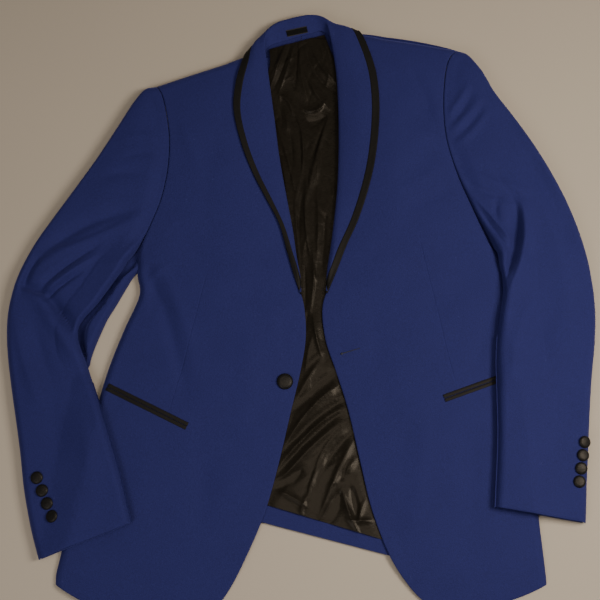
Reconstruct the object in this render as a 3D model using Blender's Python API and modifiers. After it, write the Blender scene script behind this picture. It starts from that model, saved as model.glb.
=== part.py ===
"""Dinner jacket with a shawl lapel, one front button and jetted pockets, laid open and face up.

Tables are in centimetres on the surface the jacket lies on: +X towards the wearer's left,
+Y towards the neck, +Z up. Each cloth piece is a loft between two of its edges, given a wall
by a Solidify modifier. Everything is shifted and scaled to metres when its mesh is made.
"""
import math
from collections import namedtuple

import bpy
from mathutils import Vector
from mathutils.bvhtree import BVHTree

# ---------------------------------------------------------------- driving sizes, centimetres
CM = 0.01
MIDDLE_X = 0.20
MIDDLE_Y = 0.25

WOOL = 0.20
SATIN = 0.10
LINING = 0.10
HEM = 0.12
GAP = 0.03
SEAM_HALF = 0.04

FOLD_ROUND = 1.2
SHOULDER_ROUND = 1.3
SLEEVE_ROUND = 1.1
FOOT = 0.22
TOP_FOOT = 0.22
NECK_LIFT = 0.66
PLATE_INSET = 0.34
REST_GAP = 0.20
LAPEL_GAP = 0.12
TRIM_GAP = 0.18

FOOT_STEP = 0.04
SIDE_INSET = 0.12
CREASE_STEPS = 12
CREASE_ENDS = (0.12, 0.88)
EDGE_CALM = 2.5
SIDE_CALM = 3.0
NECK_END = 0.12
NECK_FADE = 0.2
DRAPE_RINGS = (0.06, 0.15, 0.3, 0.6, 1.0)
DRAPE_TURNS = 12
CLOTH_DRAPE = (0.28, 4.0)
LAPEL_DRAPE = (0.35, 1.2)
STRIP_DRAPE = (0.5, 0.5)
ABOVE_ALL = 50.0
SEAM_PUSH = 0.3
UNDER_INSET = 0.10
UNDER_ROLL = 0.8
UNDER_ROLL_WIDTH = 13
SLEEVE_CROWN = 0.12
HEAD_SPREAD = 2.6
SLEEVE_CALM_IN = 1.2
SLEEVE_CALM_OUT = 1.6
LAPEL_FROM = 2.9
TRIM_SHARE = 0.7

TRIM_WIDTH = 1.0
JET_WIDTH = 0.50
FRONT_BUTTON_R = 1.1
CUFF_BUTTON_R = 0.82
BUTTON_RISE = 0.5
BUTTON_GAP = 0.10
BUTTONHOLE_WIDTH = 0.36
LABEL_WIDTH = 0.9
LABEL_THICK = 0.08

# ---------------------------------------------------------------- tables
# A front, row by row from the shoulder seam to the hem. edge: roll line, then front edge.
# side: armhole seam to row 7, then the side fold. fold: 1 where the side is folded under.
# bow: how far the middle of the row drops towards the hem.
FrontRow = namedtuple("FrontRow", "edge_x edge_y side_x side_y edge_z body_z side_z fold bow")
FRONT_RIGHT = [
    FrontRow(-7.0, 36.9, -21.0, 31.9, 1.50, 1.75, 1.60, 0, 0.0),
    FrontRow(-5.3, 33.0, -19.9, 30.2, 1.45, 2.00, 1.85, 0, 0.0),
    FrontRow(-4.75, 29.5, -19.1, 27.0, 1.35, 2.15, 1.95, 0, 0.0),
    FrontRow(-4.1, 25.0, -18.6, 23.2, 1.25, 2.20, 1.90, 0, 0.0),
    FrontRow(-3.5, 20.0, -18.7, 18.8, 1.15, 2.15, 1.80, 0, 0.0),
    FrontRow(-2.65, 15.0, -19.5, 14.4, 1.05, 2.05, 1.70, 0, 0.0),
    FrontRow(-1.85, 11.0, -20.8, 10.8, 1.00, 1.90, 1.60, 0, 0.0),
    FrontRow(-1.25, 7.0, -22.2, 7.4, 0.95, 1.75, 1.50, 0, 0.0),
    FrontRow(-0.65, 3.0, -22.7, 3.8, 0.96, 1.60, 1.45, 1, 0.0),
    FrontRow(0.5, -0.7, -22.3, 0.6, 0.88, 1.50, 1.40, 1, 0.0),
    FrontRow(0.8, -5.3, -24.3, -4.5, 0.66, 1.45, 1.35, 1, 0.0),
    FrontRow(0.1, -10.0, -26.2, -10.0, 0.64, 1.40, 1.30, 1, 0.1),
    FrontRow(-1.3, -16.0, -27.7, -16.0, 0.64, 1.35, 1.25, 1, 0.2),
    FrontRow(-2.8, -22.5, -29.2, -23.0, 0.72, 1.25, 1.15, 1, 0.3),
    FrontRow(-4.6, -29.0, -30.4, -29.5, 0.76, 1.10, 1.05, 1, 0.6),
    FrontRow(-7.0, -34.7, -31.4, -34.8, 0.74, 0.90, 0.95, 1, 1.2),
    FrontRow(-9.0, -38.6, -31.8, -36.9, 0.48, 0.66, 0.85, 1, 2.2),
    FrontRow(-10.6, -40.9, -31.8, -38.2, 0.42, 0.46, 0.75, 1, 2.9),
]
FRONT_LEFT = [
    FrontRow(8.2, 40.2, 23.3, 37.6, 1.50, 1.75, 1.60, 0, -0.2),
    FrontRow(5.9, 36.0, 21.7, 35.8, 1.45, 2.00, 1.85, 0, 0.0),
    FrontRow(6.05, 31.5, 20.9, 32.4, 1.35, 2.15, 1.95, 0, 0.0),
    FrontRow(6.15, 26.8, 20.6, 27.4, 1.25, 2.20, 1.90, 0, 0.0),
    FrontRow(6.1, 21.5, 21.0, 22.8, 1.15, 2.15, 1.80, 0, 0.0),
    FrontRow(5.85, 16.0, 22.4, 17.8, 1.05, 2.05, 1.70, 0, 0.0),
    FrontRow(5.4, 11.4, 24.3, 13.2, 1.00, 1.90, 1.60, 0, 0.0),
    FrontRow(4.9, 7.0, 26.2, 8.6, 0.95, 1.75, 1.50, 0, 0.0),
    FrontRow(4.3, 2.8, 28.3, 3.8, 0.96, 1.60, 1.45, 1, 0.0),
    FrontRow(3.1, -1.2, 28.7, -0.6, 0.88, 1.50, 1.40, 1, 0.0),
    FrontRow(3.5, -5.8, 29.2, -5.5, 0.66, 1.45, 1.35, 1, 0.0),
    FrontRow(4.9, -10.2, 30.2, -10.5, 0.66, 1.40, 1.30, 1, 0.1),
    FrontRow(6.5, -15.5, 30.8, -16.2, 0.68, 1.35, 1.25, 1, 0.2),
    FrontRow(8.0, -22.3, 31.2, -22.8, 0.72, 1.25, 1.15, 1, 0.3),
    FrontRow(9.5, -28.8, 31.5, -29.3, 0.76, 1.10, 1.05, 1, 0.6),
    FrontRow(11.8, -34.8, 31.9, -34.8, 0.74, 0.90, 0.95, 1, 1.2),
    FrontRow(14.3, -38.6, 32.05, -36.9, 0.48, 0.66, 0.85, 1, 1.4),
    FrontRow(16.3, -40.6, 32.1, -38.2, 0.42, 0.46, 0.75, 1, 1.5),
]
ARMHOLE_ROWS = 7

# A sleeve, row by row from its head to the cuff. inner: the forearm fold, which starts as the
# armhole seam. outer: the elbow fold. full: how far the cloth stands up from what it lies on.
# show: how far the under sleeve comes out past the top sleeve's inner fold.
SleeveRow = namedtuple("SleeveRow", "inner_x inner_y outer_x outer_y full show")
SLEEVE_RIGHT = [
    SleeveRow(-21.0, 31.9, -22.6, 31.7, 1.55, 0.0),
    SleeveRow(-19.9, 30.2, -24.4, 29.0, 1.95, 0.0),
    SleeveRow(-19.1, 27.0, -26.7, 24.8, 2.20, 0.0),
    SleeveRow(-18.6, 23.2, -29.2, 20.4, 2.30, 0.0),
    SleeveRow(-18.7, 18.8, -32.1, 15.8, 2.35, 0.0),
    SleeveRow(-19.5, 14.4, -34.9, 11.5, 2.30, 0.0),
    SleeveRow(-20.8, 10.8, -37.2, 7.8, 2.25, 0.0),
    SleeveRow(-22.2, 7.4, -39.0, 3.9, 2.20, 0.0),
    SleeveRow(-24.7, 3.6, -40.0, 0.2, 1.90, 1.8),
    SleeveRow(-27.6, -0.7, -40.35, -3.4, 1.70, 2.6),
    SleeveRow(-30.3, -4.6, -40.0, -7.6, 1.60, 3.6),
    SleeveRow(-28.9, -9.4, -39.2, -12.2, 1.55, 0.2),
    SleeveRow(-27.3, -13.6, -38.3, -16.6, 1.50, 0.0),
    SleeveRow(-25.5, -18.6, -37.4, -21.2, 1.45, 0.0),
    SleeveRow(-23.9, -23.4, -36.6, -26.0, 1.40, 0.0),
    SleeveRow(-22.7, -27.6, -35.4, -31.0, 1.35, 0.0),
    SleeveRow(-21.9, -30.4, -34.1, -35.1, 1.30, 0.0),
]
SLEEVE_LEFT = [
    SleeveRow(23.3, 37.6, 24.5, 37.2, 1.55, 0.0),
    SleeveRow(21.7, 35.8, 26.3, 34.0, 1.95, 0.0),
    SleeveRow(20.9, 32.4, 28.5, 30.6, 2.20, 0.0),
    SleeveRow(20.6, 27.4, 31.2, 26.6, 2.30, 0.0),
    SleeveRow(21.0, 22.8, 33.9, 22.2, 2.35, 0.0),
    SleeveRow(22.4, 17.8, 36.3, 17.6, 2.30, 0.0),
    SleeveRow(24.3, 13.2, 38.3, 12.8, 2.25, 0.0),
    SleeveRow(26.2, 8.6, 39.7, 8.0, 2.15, 0.0),
    SleeveRow(27.6, 4.4, 40.5, 3.2, 1.90, 0.0),
    SleeveRow(27.8, 0.6, 40.75, -1.6, 1.75, 0.0),
    SleeveRow(27.0, -3.9, 40.4, -6.2, 1.60, 0.0),
    SleeveRow(26.5, -8.8, 39.7, -10.8, 1.55, 0.0),
    SleeveRow(26.4, -13.6, 39.1, -15.6, 1.50, 0.0),
    SleeveRow(26.3, -18.4, 38.6, -20.4, 1.45, 0.0),
    SleeveRow(26.0, -22.8, 38.1, -25.0, 1.40, 0.0),
    SleeveRow(25.7, -26.2, 37.8, -28.4, 1.35, 0.0),
    SleeveRow(25.5, -28.4, 37.6, -30.4, 1.30, 0.0),
]

# A half of the shawl, station by station from the break of the lapel up to centre back.
# roll: the fold. half: half the fold's thickness. mid and edge: middle and outer edge of the
# lapel, then of the collar's fall. stand: inner edge of the facing, then of the collar stand.
ShawlRow = namedtuple(
    "ShawlRow",
    "roll_x roll_y roll_z half mid_x mid_y mid_z edge_x edge_y edge_z stand_x stand_y stand_z",
)
SHAWL_RIGHT = [
    ShawlRow(0.32, 1.7, 0.87, 0.49, 0.0, 1.55, 1.2, -0.35, 1.6, 1.2, -0.8, 1.5, 0.44),
    ShawlRow(0.05, 3.2, 0.87, 0.43, -0.5, 3.4, 1.3, -0.9, 3.6, 1.2, -1.1, 3.2, 0.44),
    ShawlRow(-0.45, 6.0, 0.90, 0.44, -1.3, 6.4, 1.4, -1.8, 6.8, 1.3, -1.7, 6.0, 0.46),
    ShawlRow(-0.95, 9.6, 0.94, 0.45, -2.1, 10.1, 1.5, -2.9, 10.7, 1.5, -2.3, 9.6, 0.49),
    ShawlRow(-1.60, 13.2, 0.98, 0.46, -3.3, 13.7, 1.6, -4.7, 14.3, 1.6, -3.0, 13.2, 0.56),
    ShawlRow(-2.30, 17.0, 1.04, 0.48, -4.6, 17.6, 1.8, -6.7, 18.3, 1.8, -3.7, 17.0, 0.60),
    ShawlRow(-3.00, 21.2, 1.12, 0.50, -5.9, 21.9, 2.0, -8.35, 22.7, 2.0, -4.4, 21.2, 0.64),
    ShawlRow(-3.60, 26.0, 1.20, 0.48, -6.8, 26.7, 2.2, -9.45, 27.6, 2.2, -5.0, 26.0, 0.70),
    ShawlRow(-4.20, 30.6, 1.30, 0.52, -7.1, 31.0, 2.3, -9.25, 31.6, 2.2, -5.6, 30.6, 0.76),
    ShawlRow(-4.75, 34.8, 1.55, 0.56, -6.9, 34.8, 2.4, -8.5, 34.9, 2.0, -5.7, 34.8, 0.90),
    ShawlRow(-5.15, 38.2, 2.00, 0.52, -6.7, 38.1, 1.9, -7.7, 37.3, 1.0, -5.1, 37.4, 0.95),
    ShawlRow(-4.75, 40.2, 1.80, 0.48, -6.2, 39.2, 0.9, -6.5, 37.2, 0.28, -4.4, 38.3, 0.90),
    ShawlRow(-3.40, 41.7, 1.50, 0.44, -4.5, 40.1, 0.50, -4.4, 36.5, 0.28, -3.0, 39.0, 0.85),
    ShawlRow(-1.50, 42.5, 1.35, 0.42, -2.0, 40.4, 0.36, -2.0, 36.5, 0.28, -1.5, 39.5, 0.80),
    ShawlRow(0.26, 42.95, 1.30, 0.42, 0.18, 40.8, 0.34, 0.14, 36.9, 0.28, 0.10, 40.0, 0.80),
]
SHAWL_LEFT = [
    ShawlRow(3.40, 1.9, 0.87, 0.43, 3.8, 1.9, 1.2, 4.1, 1.9, 1.2, 4.5, 1.9, 0.44),
    ShawlRow(3.75, 3.9, 0.87, 0.43, 4.4, 4.0, 1.3, 5.1, 4.1, 1.2, 5.0, 3.9, 0.44),
    ShawlRow(4.25, 7.2, 0.90, 0.44, 5.3, 7.3, 1.4, 6.35, 7.4, 1.3, 5.6, 7.2, 0.46),
    ShawlRow(4.75, 11.0, 0.94, 0.45, 6.5, 11.1, 1.5, 8.05, 11.2, 1.5, 6.2, 11.0, 0.49),
    ShawlRow(5.20, 15.2, 0.98, 0.46, 7.4, 15.3, 1.7, 9.45, 15.4, 1.7, 6.6, 15.2, 0.56),
    ShawlRow(5.45, 19.6, 1.04, 0.48, 8.0, 19.7, 1.9, 10.5, 19.8, 1.9, 6.9, 19.6, 0.60),
    ShawlRow(5.55, 24.2, 1.12, 0.50, 8.4, 24.3, 2.1, 11.1, 24.4, 2.1, 7.0, 24.2, 0.64),
    ShawlRow(5.50, 28.8, 1.20, 0.48, 8.5, 28.9, 2.2, 11.3, 29.0, 2.2, 6.9, 28.8, 0.70),
    ShawlRow(5.30, 33.2, 1.35, 0.52, 8.2, 33.4, 2.3, 10.9, 33.6, 2.2, 6.7, 33.2, 0.80),
    ShawlRow(4.80, 37.0, 1.65, 0.56, 7.4, 37.5, 2.3, 9.8, 37.7, 1.9, 6.0, 36.9, 0.90),
    ShawlRow(4.25, 40.3, 2.00, 0.52, 6.8, 40.8, 1.9, 8.5, 40.6, 1.1, 4.7, 39.2, 0.95),
    ShawlRow(3.75, 42.0, 1.80, 0.48, 5.7, 41.4, 0.9, 6.9, 39.8, 0.28, 3.9, 40.3, 0.90),
    ShawlRow(2.70, 42.9, 1.50, 0.44, 3.8, 41.2, 0.50, 4.7, 37.8, 0.28, 2.8, 40.75, 0.85),
    ShawlRow(1.45, 43.1, 1.35, 0.42, 1.9, 41.0, 0.36, 2.4, 37.2, 0.28, 1.4, 40.4, 0.80),
    ShawlRow(0.34, 42.95, 1.30, 0.42, 0.26, 40.8, 0.34, 0.22, 36.9, 0.28, 0.18, 40.0, 0.80),
]
SHAWL_SHOULDER = 10

# Flat pieces under the fronts, row by row towards the hem: both ends of the row, the height of
# their lower face, and the row's bow.
FlatRow = namedtuple("FlatRow", "near_x near_y far_x far_y low bow")
BACK_RIGHT = [
    FlatRow(0.1, 38.4, -20.3, 30.6, 0.54, 0.0),
    FlatRow(0.0, 35.6, -19.9, 29.6, 0.54, 0.0),
    FlatRow(0.0, 32.0, -19.2, 28.0, 0.00, 0.0),
    FlatRow(-0.1, 26.0, -18.5, 24.0, 0.00, 0.0),
    FlatRow(-0.3, 18.0, -18.7, 18.4, 0.00, 0.0),
    FlatRow(-0.5, 11.0, -20.2, 11.6, 0.00, 0.0),
    FlatRow(-0.7, 2.0, -19.8, 3.0, 0.00, 0.0),
    FlatRow(-0.8, -6.0, -19.5, -6.0, 0.00, 0.0),
    FlatRow(-0.9, -14.0, -19.6, -15.0, 0.00, 0.0),
    FlatRow(-1.0, -23.0, -19.8, -24.0, 0.00, -0.6),
    FlatRow(-1.0, -31.1, -20.0, -33.4, 0.00, -1.9),
]
BACK_LEFT = [
    FlatRow(0.1, 38.4, 22.4, 36.4, 0.54, -1.0),
    FlatRow(0.0, 35.6, 21.3, 34.8, 0.54, -0.4),
    FlatRow(0.0, 32.0, 20.7, 32.0, 0.00, 0.0),
    FlatRow(-0.1, 27.0, 20.4, 27.4, 0.00, 0.0),
    FlatRow(-0.2, 22.4, 20.8, 22.8, 0.00, 0.0),
    FlatRow(-0.3, 17.4, 22.1, 17.8, 0.00, 0.0),
    FlatRow(-0.5, 11.0, 23.0, 13.0, 0.00, 0.0),
    FlatRow(-0.7, 2.0, 22.6, 3.0, 0.00, 0.0),
    FlatRow(-0.8, -6.0, 21.8, -6.0, 0.00, 0.0),
    FlatRow(-0.9, -14.0, 21.4, -15.0, 0.00, 0.0),
    FlatRow(-1.0, -23.0, 21.2, -24.0, 0.00, 0.0),
    FlatRow(-1.0, -31.1, 21.0, -36.4, 0.00, 0.2),
]

# Seam between the back and a side panel, one point per front row from the armhole's last row.
SIDE_SEAM_RIGHT = (
    (-20.8, 9.0),
    (-20.0, 4.4),
    (-19.7, 0.8),
    (-19.6, -4.6),
    (-19.6, -10.0),
    (-19.7, -15.6),
    (-19.8, -21.6),
    (-19.9, -27.0),
    (-20.0, -31.2),
    (-20.1, -33.5),
)
SIDE_SEAM_LEFT = (
    (23.8, 10.6),
    (23.0, 4.6),
    (22.6, -0.4),
    (22.2, -5.4),
    (21.9, -10.4),
    (21.6, -16.0),
    (21.4, -22.0),
    (21.3, -28.0),
    (21.2, -33.0),
    (21.1, -36.5),
)
LINING_BACK = [
    FlatRow(-4.5, 37.7, 3.6, 40.1, 0.80, 0.0),
    FlatRow(-4.5, 34.6, 5.1, 36.0, 0.80, 0.0),
    FlatRow(-6.0, 31.0, 7.2, 32.0, 0.48, 0.0),
    FlatRow(-7.6, 27.0, 9.0, 28.0, 0.24, 0.0),
    FlatRow(-7.2, 22.0, 9.0, 23.0, 0.24, 0.0),
    FlatRow(-5.8, 13.0, 8.6, 14.0, 0.24, 0.0),
    FlatRow(-4.4, 4.0, 7.8, 4.0, 0.24, 0.0),
    FlatRow(-3.4, -5.0, 7.8, -5.0, 0.24, 0.0),
    FlatRow(-4.4, -13.0, 9.4, -13.0, 0.24, 0.0),
    FlatRow(-6.4, -21.0, 12.0, -22.0, 0.24, 0.0),
    FlatRow(-7.6, -25.4, 13.4, -31.0, 0.40, 0.0),
    FlatRow(-8.0, -27.0, 13.8, -33.4, 0.40, 0.0),
]
HEM_BACK = [
    FlatRow(-8.6, -26.9, 15.2, -33.5, 0.24, 0.0),
    FlatRow(-8.9, -29.25, 15.6, -35.5, 0.24, 0.0),
]

# Largest folds: a curve through three points, its width, and its height (a trough is negative).
Crease = namedtuple("Crease", "start_x start_y bend_x bend_y end_x end_y width height")
LINING_FOLDS = [
    Crease(-0.4, 38.0, -0.3, 30.0, 0.6, 20.0, 0.9, 0.16),
    Crease(5.6, -9.6, 2.4, -12.6, -1.2, -15.9, 1.1, 0.22),
    Crease(2.2, 26.0, 1.2, 10.0, 2.6, -8.0, 1.2, 0.14),
]
SLEEVE_RIGHT_FOLDS = [
    Crease(-36.6, -0.6, -33.2, -2.6, -29.6, -8.6, 1.3, -0.45),
    Crease(-36.0, 0.6, -32.2, 2.6, -28.2, 4.6, 1.2, -0.25),
    Crease(-21.6, 13.4, -27.0, 12.6, -33.0, 9.4, 1.6, -0.25),
]
SLEEVE_LEFT_FOLDS = [
    Crease(30.4, 14.0, 31.0, 9.0, 28.6, 2.4, 1.1, -0.60),
    Crease(33.0, 21.0, 35.2, 15.6, 37.0, 10.0, 1.6, -0.22),
]
FRONT_RIGHT_FOLDS = [
    Crease(-19.6, -2.8, -16.6, -11.0, -12.8, -20.0, 2.2, -0.22),
]
FRONT_LEFT_FOLDS = [
    Crease(24.0, -2.0, 21.0, -10.0, 18.0, -21.0, 2.2, -0.15),
]

POCKET_RIGHT = ((-15.2, -17.7), (-25.2, -12.8))
POCKET_LEFT = ((19.5, -14.0), (28.0, -10.9))
BUTTONHOLE = ((5.7, -7.75), (8.1, -7.05))
FRONT_BUTTON_PLACE = (-2.05, -11.6)
CUFF_BUTTONS_RIGHT = ((-34.65, -24.6), (-32.35, -29.6))
CUFF_BUTTONS_LEFT = ((37.8, -19.9), (36.8, -25.1))
CUFF_BUTTON_COUNT = 4
LABEL = ((-1.95, 40.15), (1.05, 40.90))
RIGHT_LIES_FROM = 10.5
LEFT_LIES_FROM = 7.0

Cloth = namedtuple("Cloth", "color roughness sheen")
FINISHES = {
    "blue_wool": Cloth((0.013, 0.020, 0.072), 0.80, 0.2),
    "black_satin": Cloth((0.008, 0.007, 0.007), 0.35, 0.0),
    "lining_satin": Cloth((0.020, 0.016, 0.012), 0.30, 0.0),
    "dark_thread": Cloth((0.010, 0.010, 0.016), 0.70, 0.0),
}


# ---------------------------------------------------------------- curves and heights
def spline(points, place):
    """Value of a smooth curve through equally spaced points, at a place counted in points."""
    last = len(points) - 1
    index = min(int(place), last - 1)
    part = place - index
    before = points[max(index - 1, 0)]
    start = points[index]
    end = points[index + 1]
    after = points[min(index + 2, last)]
    values = []
    for a, b, c, d in zip(before, start, end, after):
        bend = 2 * b + (c - a) * part
        bend += (2 * a - 5 * b + 4 * c - d) * part ** 2
        bend += (3 * b - a - 3 * c + d) * part ** 3
        values.append(bend / 2)
    return type(start)(*values) if hasattr(start, "_fields") else values


def mix(a, b, part):
    return a + (b - a) * part


def smooth(part):
    part = min(max(part, 0.0), 1.0)
    return part * part * (3 - 2 * part)


def rounded(distance, radius):
    """Height of a rounded fold, from 0 on its outer side to 1 at a radius inside."""
    part = 1 - min(max(distance / radius, 0.0), 1.0)
    return math.sqrt(1 - part * part)


def crease_height(creases, x, y):
    """Sum of the folds at a point, each fading towards both of its ends."""
    total = 0.0
    for crease in creases:
        nearest = None
        for step in range(CREASE_STEPS + 1):
            part = step / CREASE_STEPS
            along_x = (1 - part) ** 2 * crease.start_x + part ** 2 * crease.end_x
            along_x += 2 * part * (1 - part) * crease.bend_x
            along_y = (1 - part) ** 2 * crease.start_y + part ** 2 * crease.end_y
            along_y += 2 * part * (1 - part) * crease.bend_y
            distance = math.hypot(x - along_x, y - along_y)
            if nearest is None or distance < nearest[0]:
                nearest = (distance, part)
        distance, part = nearest
        fade = math.sin(math.pi * mix(*CREASE_ENDS, part))
        total += crease.height * fade * math.exp(-((distance / crease.width) ** 2))
    return total


# ---------------------------------------------------------------- grids
ACROSS_FRONT = (0.0, 0.05, 0.15, 0.28, 0.42, 0.56, 0.7, 0.83, 0.92, 0.965, 0.985, 1.0)
ACROSS_SLEEVE = (0.0, 0.02, 0.08, 0.2, 0.36, 0.52, 0.68, 0.82, 0.92, 0.98, 1.0)
ACROSS_UNDER = (0.0, 0.08, 0.25, 0.3, 0.42, 0.56, 0.75, 1.0)
ACROSS_BACK = (0.0, 0.15, 0.3, 0.5, 0.75, 1.0)
ACROSS_LINING = tuple(step / 9 for step in range(10))
ALONG_SECTION = (0.0, 0.5, 1.0, 1.5, 2.0, 2.6, 3.3, 4.0, 4.5, 5.0)
ACROSS_TRIM = (1.0, 0.5, 0.0)
TOP_ROWS = (0.0, 0.04, 0.12, 0.3, 0.6, 1.0)


def rows_down(last, extra=()):
    """Places of the grid rows: close together at the top fold, then one per table row."""
    return sorted(set(TOP_ROWS) | set(range(2, last + 1)) | set(extra))


def front_surface(rows, creases, u, v):
    """Point of a front's outer face, without its shoulder and side folds' feet."""
    row = spline(rows, v)
    top = spline(rows, 0.0)
    x = mix(row.edge_x, row.side_x, u)
    y = mix(row.edge_y, row.side_y, u) - row.bow * 4 * u * (1 - u)
    middle = row.body_z - (row.edge_z + row.side_z) / 2
    z = mix(row.edge_z, row.side_z, u) + middle * math.sin(math.pi * u)
    width = math.hypot(row.side_x - row.edge_x, row.side_y - row.edge_y)
    clear = smooth((1 - u) * width / EDGE_CALM) * smooth(u * width / SIDE_CALM) * smooth(v / 2)
    z += crease_height(creases, x, y) * clear
    side = rounded((1 - u) * width, FOLD_ROUND)
    z *= mix(1.0, side, smooth(min(max(row.fold, 0.0), 1.0)))
    top_x = mix(top.edge_x, top.side_x, u)
    top_y = mix(top.edge_y, top.side_y, u)
    return Vector((x, y, z)), math.hypot(x - top_x, y - top_y)


def front_grid(rows, creases):
    """Outer face of a front, with the feet of its shoulder and side folds."""
    grid = []
    for v in rows_down(len(rows) - 1, (7.5,)):
        fold = smooth(v - ARMHOLE_ROWS)
        line = []
        for u in ACROSS_FRONT:
            point, from_top = front_surface(rows, creases, u, v)
            lift = mix(NECK_LIFT, TOP_FOOT, smooth((u - NECK_END) / NECK_FADE))
            point.z = lift + (point.z - lift) * rounded(from_top, SHOULDER_ROUND)
            line.append(point)
        foot = line[-1].copy()
        foot.z = mix(foot.z - FOOT_STEP, 0.0, fold)
        line[-1].z = max(line[-1].z * (1 - fold), foot.z + mix(FOOT_STEP, FOOT, fold))
        line.append(foot)
        grid.append(line)
    return grid


def flat_grid(rows, across, wall, creases=(), steps=1):
    """Upper face of a piece that lies flat, given the height of its lower face."""
    grid = []
    for step in range((len(rows) - 1) * steps + 1):
        row = spline(rows, step / steps)
        line = []
        for u in across:
            x = mix(row.near_x, row.far_x, u)
            y = mix(row.near_y, row.far_y, u) - row.bow * 4 * u * (1 - u)
            z = max(row.low, 0.0) + wall
            z += crease_height(creases, x, y)
            line.append(Vector((x, y, z)))
        grid.append(line)
    return grid


class Ground:
    """What a piece comes to lie on: the upper faces of the pieces made so far."""

    def __init__(self):
        self.trees = []

    def add(self, grid):
        across = len(grid[0])
        points = [point for line in grid for point in line]
        faces = []
        for i in range(len(grid) - 1):
            for j in range(across - 1):
                k = i * across + j
                faces.append((k, k + 1, k + across + 1, k + across))
        self.trees.append(BVHTree.FromPolygons(points, faces))

    def height(self, x, y):
        best = 0.0
        for tree in self.trees:
            hit = tree.ray_cast(Vector((x, y, ABOVE_ALL)), Vector((0.0, 0.0, -1.0)))
            if hit[0] is not None:
                best = max(best, hit[0].z)
        return best

    def normal(self, x, y):
        best = None
        for tree in self.trees:
            hit = tree.ray_cast(Vector((x, y, ABOVE_ALL)), Vector((0.0, 0.0, -1.0)))
            if hit[0] is not None and (best is None or hit[0].z > best[0].z):
                best = hit
        face_up = best[1] if best[1].z > 0 else -best[1]
        return best[0], face_up

    def drape(self, x, y, shape=CLOTH_DRAPE):
        """Height of cloth over this point: it slopes off from any higher place nearby."""
        slope, reach = shape
        best = self.height(x, y)
        for ring in DRAPE_RINGS:
            far = ring * reach
            for turn in range(DRAPE_TURNS):
                angle = turn * 2 * math.pi / DRAPE_TURNS
                there = self.height(x + far * math.cos(angle), y + far * math.sin(angle))
                best = max(best, there - slope * far)
        return best


def sleeve_edges(rows, v):
    """Inner and outer edge of the top sleeve in a row, and the way from one to the other."""
    row = spline(rows, v)
    inner = Vector((row.inner_x, row.inner_y))
    outer = Vector((row.outer_x, row.outer_y))
    away = (outer - inner).normalized()
    seam = smooth((ARMHOLE_ROWS + 1 - v) * 2)
    near = smooth(v - ARMHOLE_ROWS + 1) * seam
    return row, inner + away * (2 * SEAM_HALF * seam + SEAM_PUSH * near), outer, away


def under_sleeve_grid(rows, ground, lies_from):
    """Upper face of an under sleeve: on the surface, and over the side of the body further down."""
    grid = []
    places = [0.4] + list(range(1, len(rows))) + [10.5, 11.5, 12.5]
    for v in sorted(places):
        row, inner, outer, away = sleeve_edges(rows, v)
        inset = UNDER_INSET if v < ARMHOLE_ROWS else PLATE_INSET
        inner = inner + away * (inset if row.show < 0.05 else -row.show)
        outer = outer - away * (PLATE_INSET + 0.02)
        over_body = smooth((v - lies_from) / 1.5)
        line = []
        for u in ACROSS_UNDER:
            flat = inner.lerp(outer, u)
            low = (ground.drape(flat.x, flat.y) + REST_GAP) * over_body
            roll = rounded(u * UNDER_ROLL_WIDTH, 1.0) * math.exp(-((u / 0.3) ** 4)) * min(row.show, 1.0)
            line.append(Vector((flat.x, flat.y, low + WOOL + UNDER_ROLL * roll)))
        grid.append(line)
    return grid


def top_sleeve_grid(rows, front, creases, ground):
    """Outer face of a top sleeve, from the armhole seam over the crown to the elbow fold."""
    grid = []
    first_edge = None
    for v in rows_down(len(rows) - 1, (7.5, 8.5, 10.5)):
        row, inner, outer, away = sleeve_edges(rows, v)
        width = (outer - inner).length
        seam_z = spline(front, min(v, ARMHOLE_ROWS)).side_z
        at_seam = 1 - smooth((v - ARMHOLE_ROWS + 0.5) / 1.2)
        if first_edge is None:
            first_edge = (inner, outer)
        line = []
        for u in ACROSS_SLEEVE:
            flat = inner.lerp(outer, u)
            swell = row.full * (1 - SLEEVE_CROWN * (1 - math.sin(math.pi * u)))
            sewn = mix(swell, seam_z, 1 - smooth(u * width / HEAD_SPREAD))
            folded = swell * rounded(u * width, SLEEVE_ROUND)
            rise = mix(folded, sewn, at_seam) * rounded((1 - u) * width, SLEEVE_ROUND)
            clear = smooth((1 - u) * width / SLEEVE_CALM_OUT) * smooth(u * width / SLEEVE_CALM_IN)
            rise += crease_height(creases, flat.x, flat.y) * clear
            low = (ground.drape(flat.x, flat.y) + REST_GAP) * (1 - at_seam)
            from_top = (flat - first_edge[0].lerp(first_edge[1], u)).length
            top = TOP_FOOT + (rise - TOP_FOOT) * rounded(from_top, SHOULDER_ROUND)
            line.append(Vector((flat.x, flat.y, low + (top if v < 2 else rise))))
        start = line[0].copy()
        under_foot = ground.drape(start.x, start.y) + REST_GAP
        start.z = mix(under_foot, start.z - FOOT_STEP, smooth(at_seam * 4))
        line[0].z = max(line[0].z, start.z + mix(FOOT, FOOT_STEP, smooth(at_seam * 4)))
        foot = line[-1].copy()
        ground_z = ground.drape(foot.x, foot.y) * (1 - at_seam)
        foot.z = ground_z + REST_GAP if ground_z > GAP else 0.0
        line[-1].z = max(line[-1].z, foot.z + FOOT)
        line.append(foot)
        line.insert(0, start)
        grid.append(line)
    return grid


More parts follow.
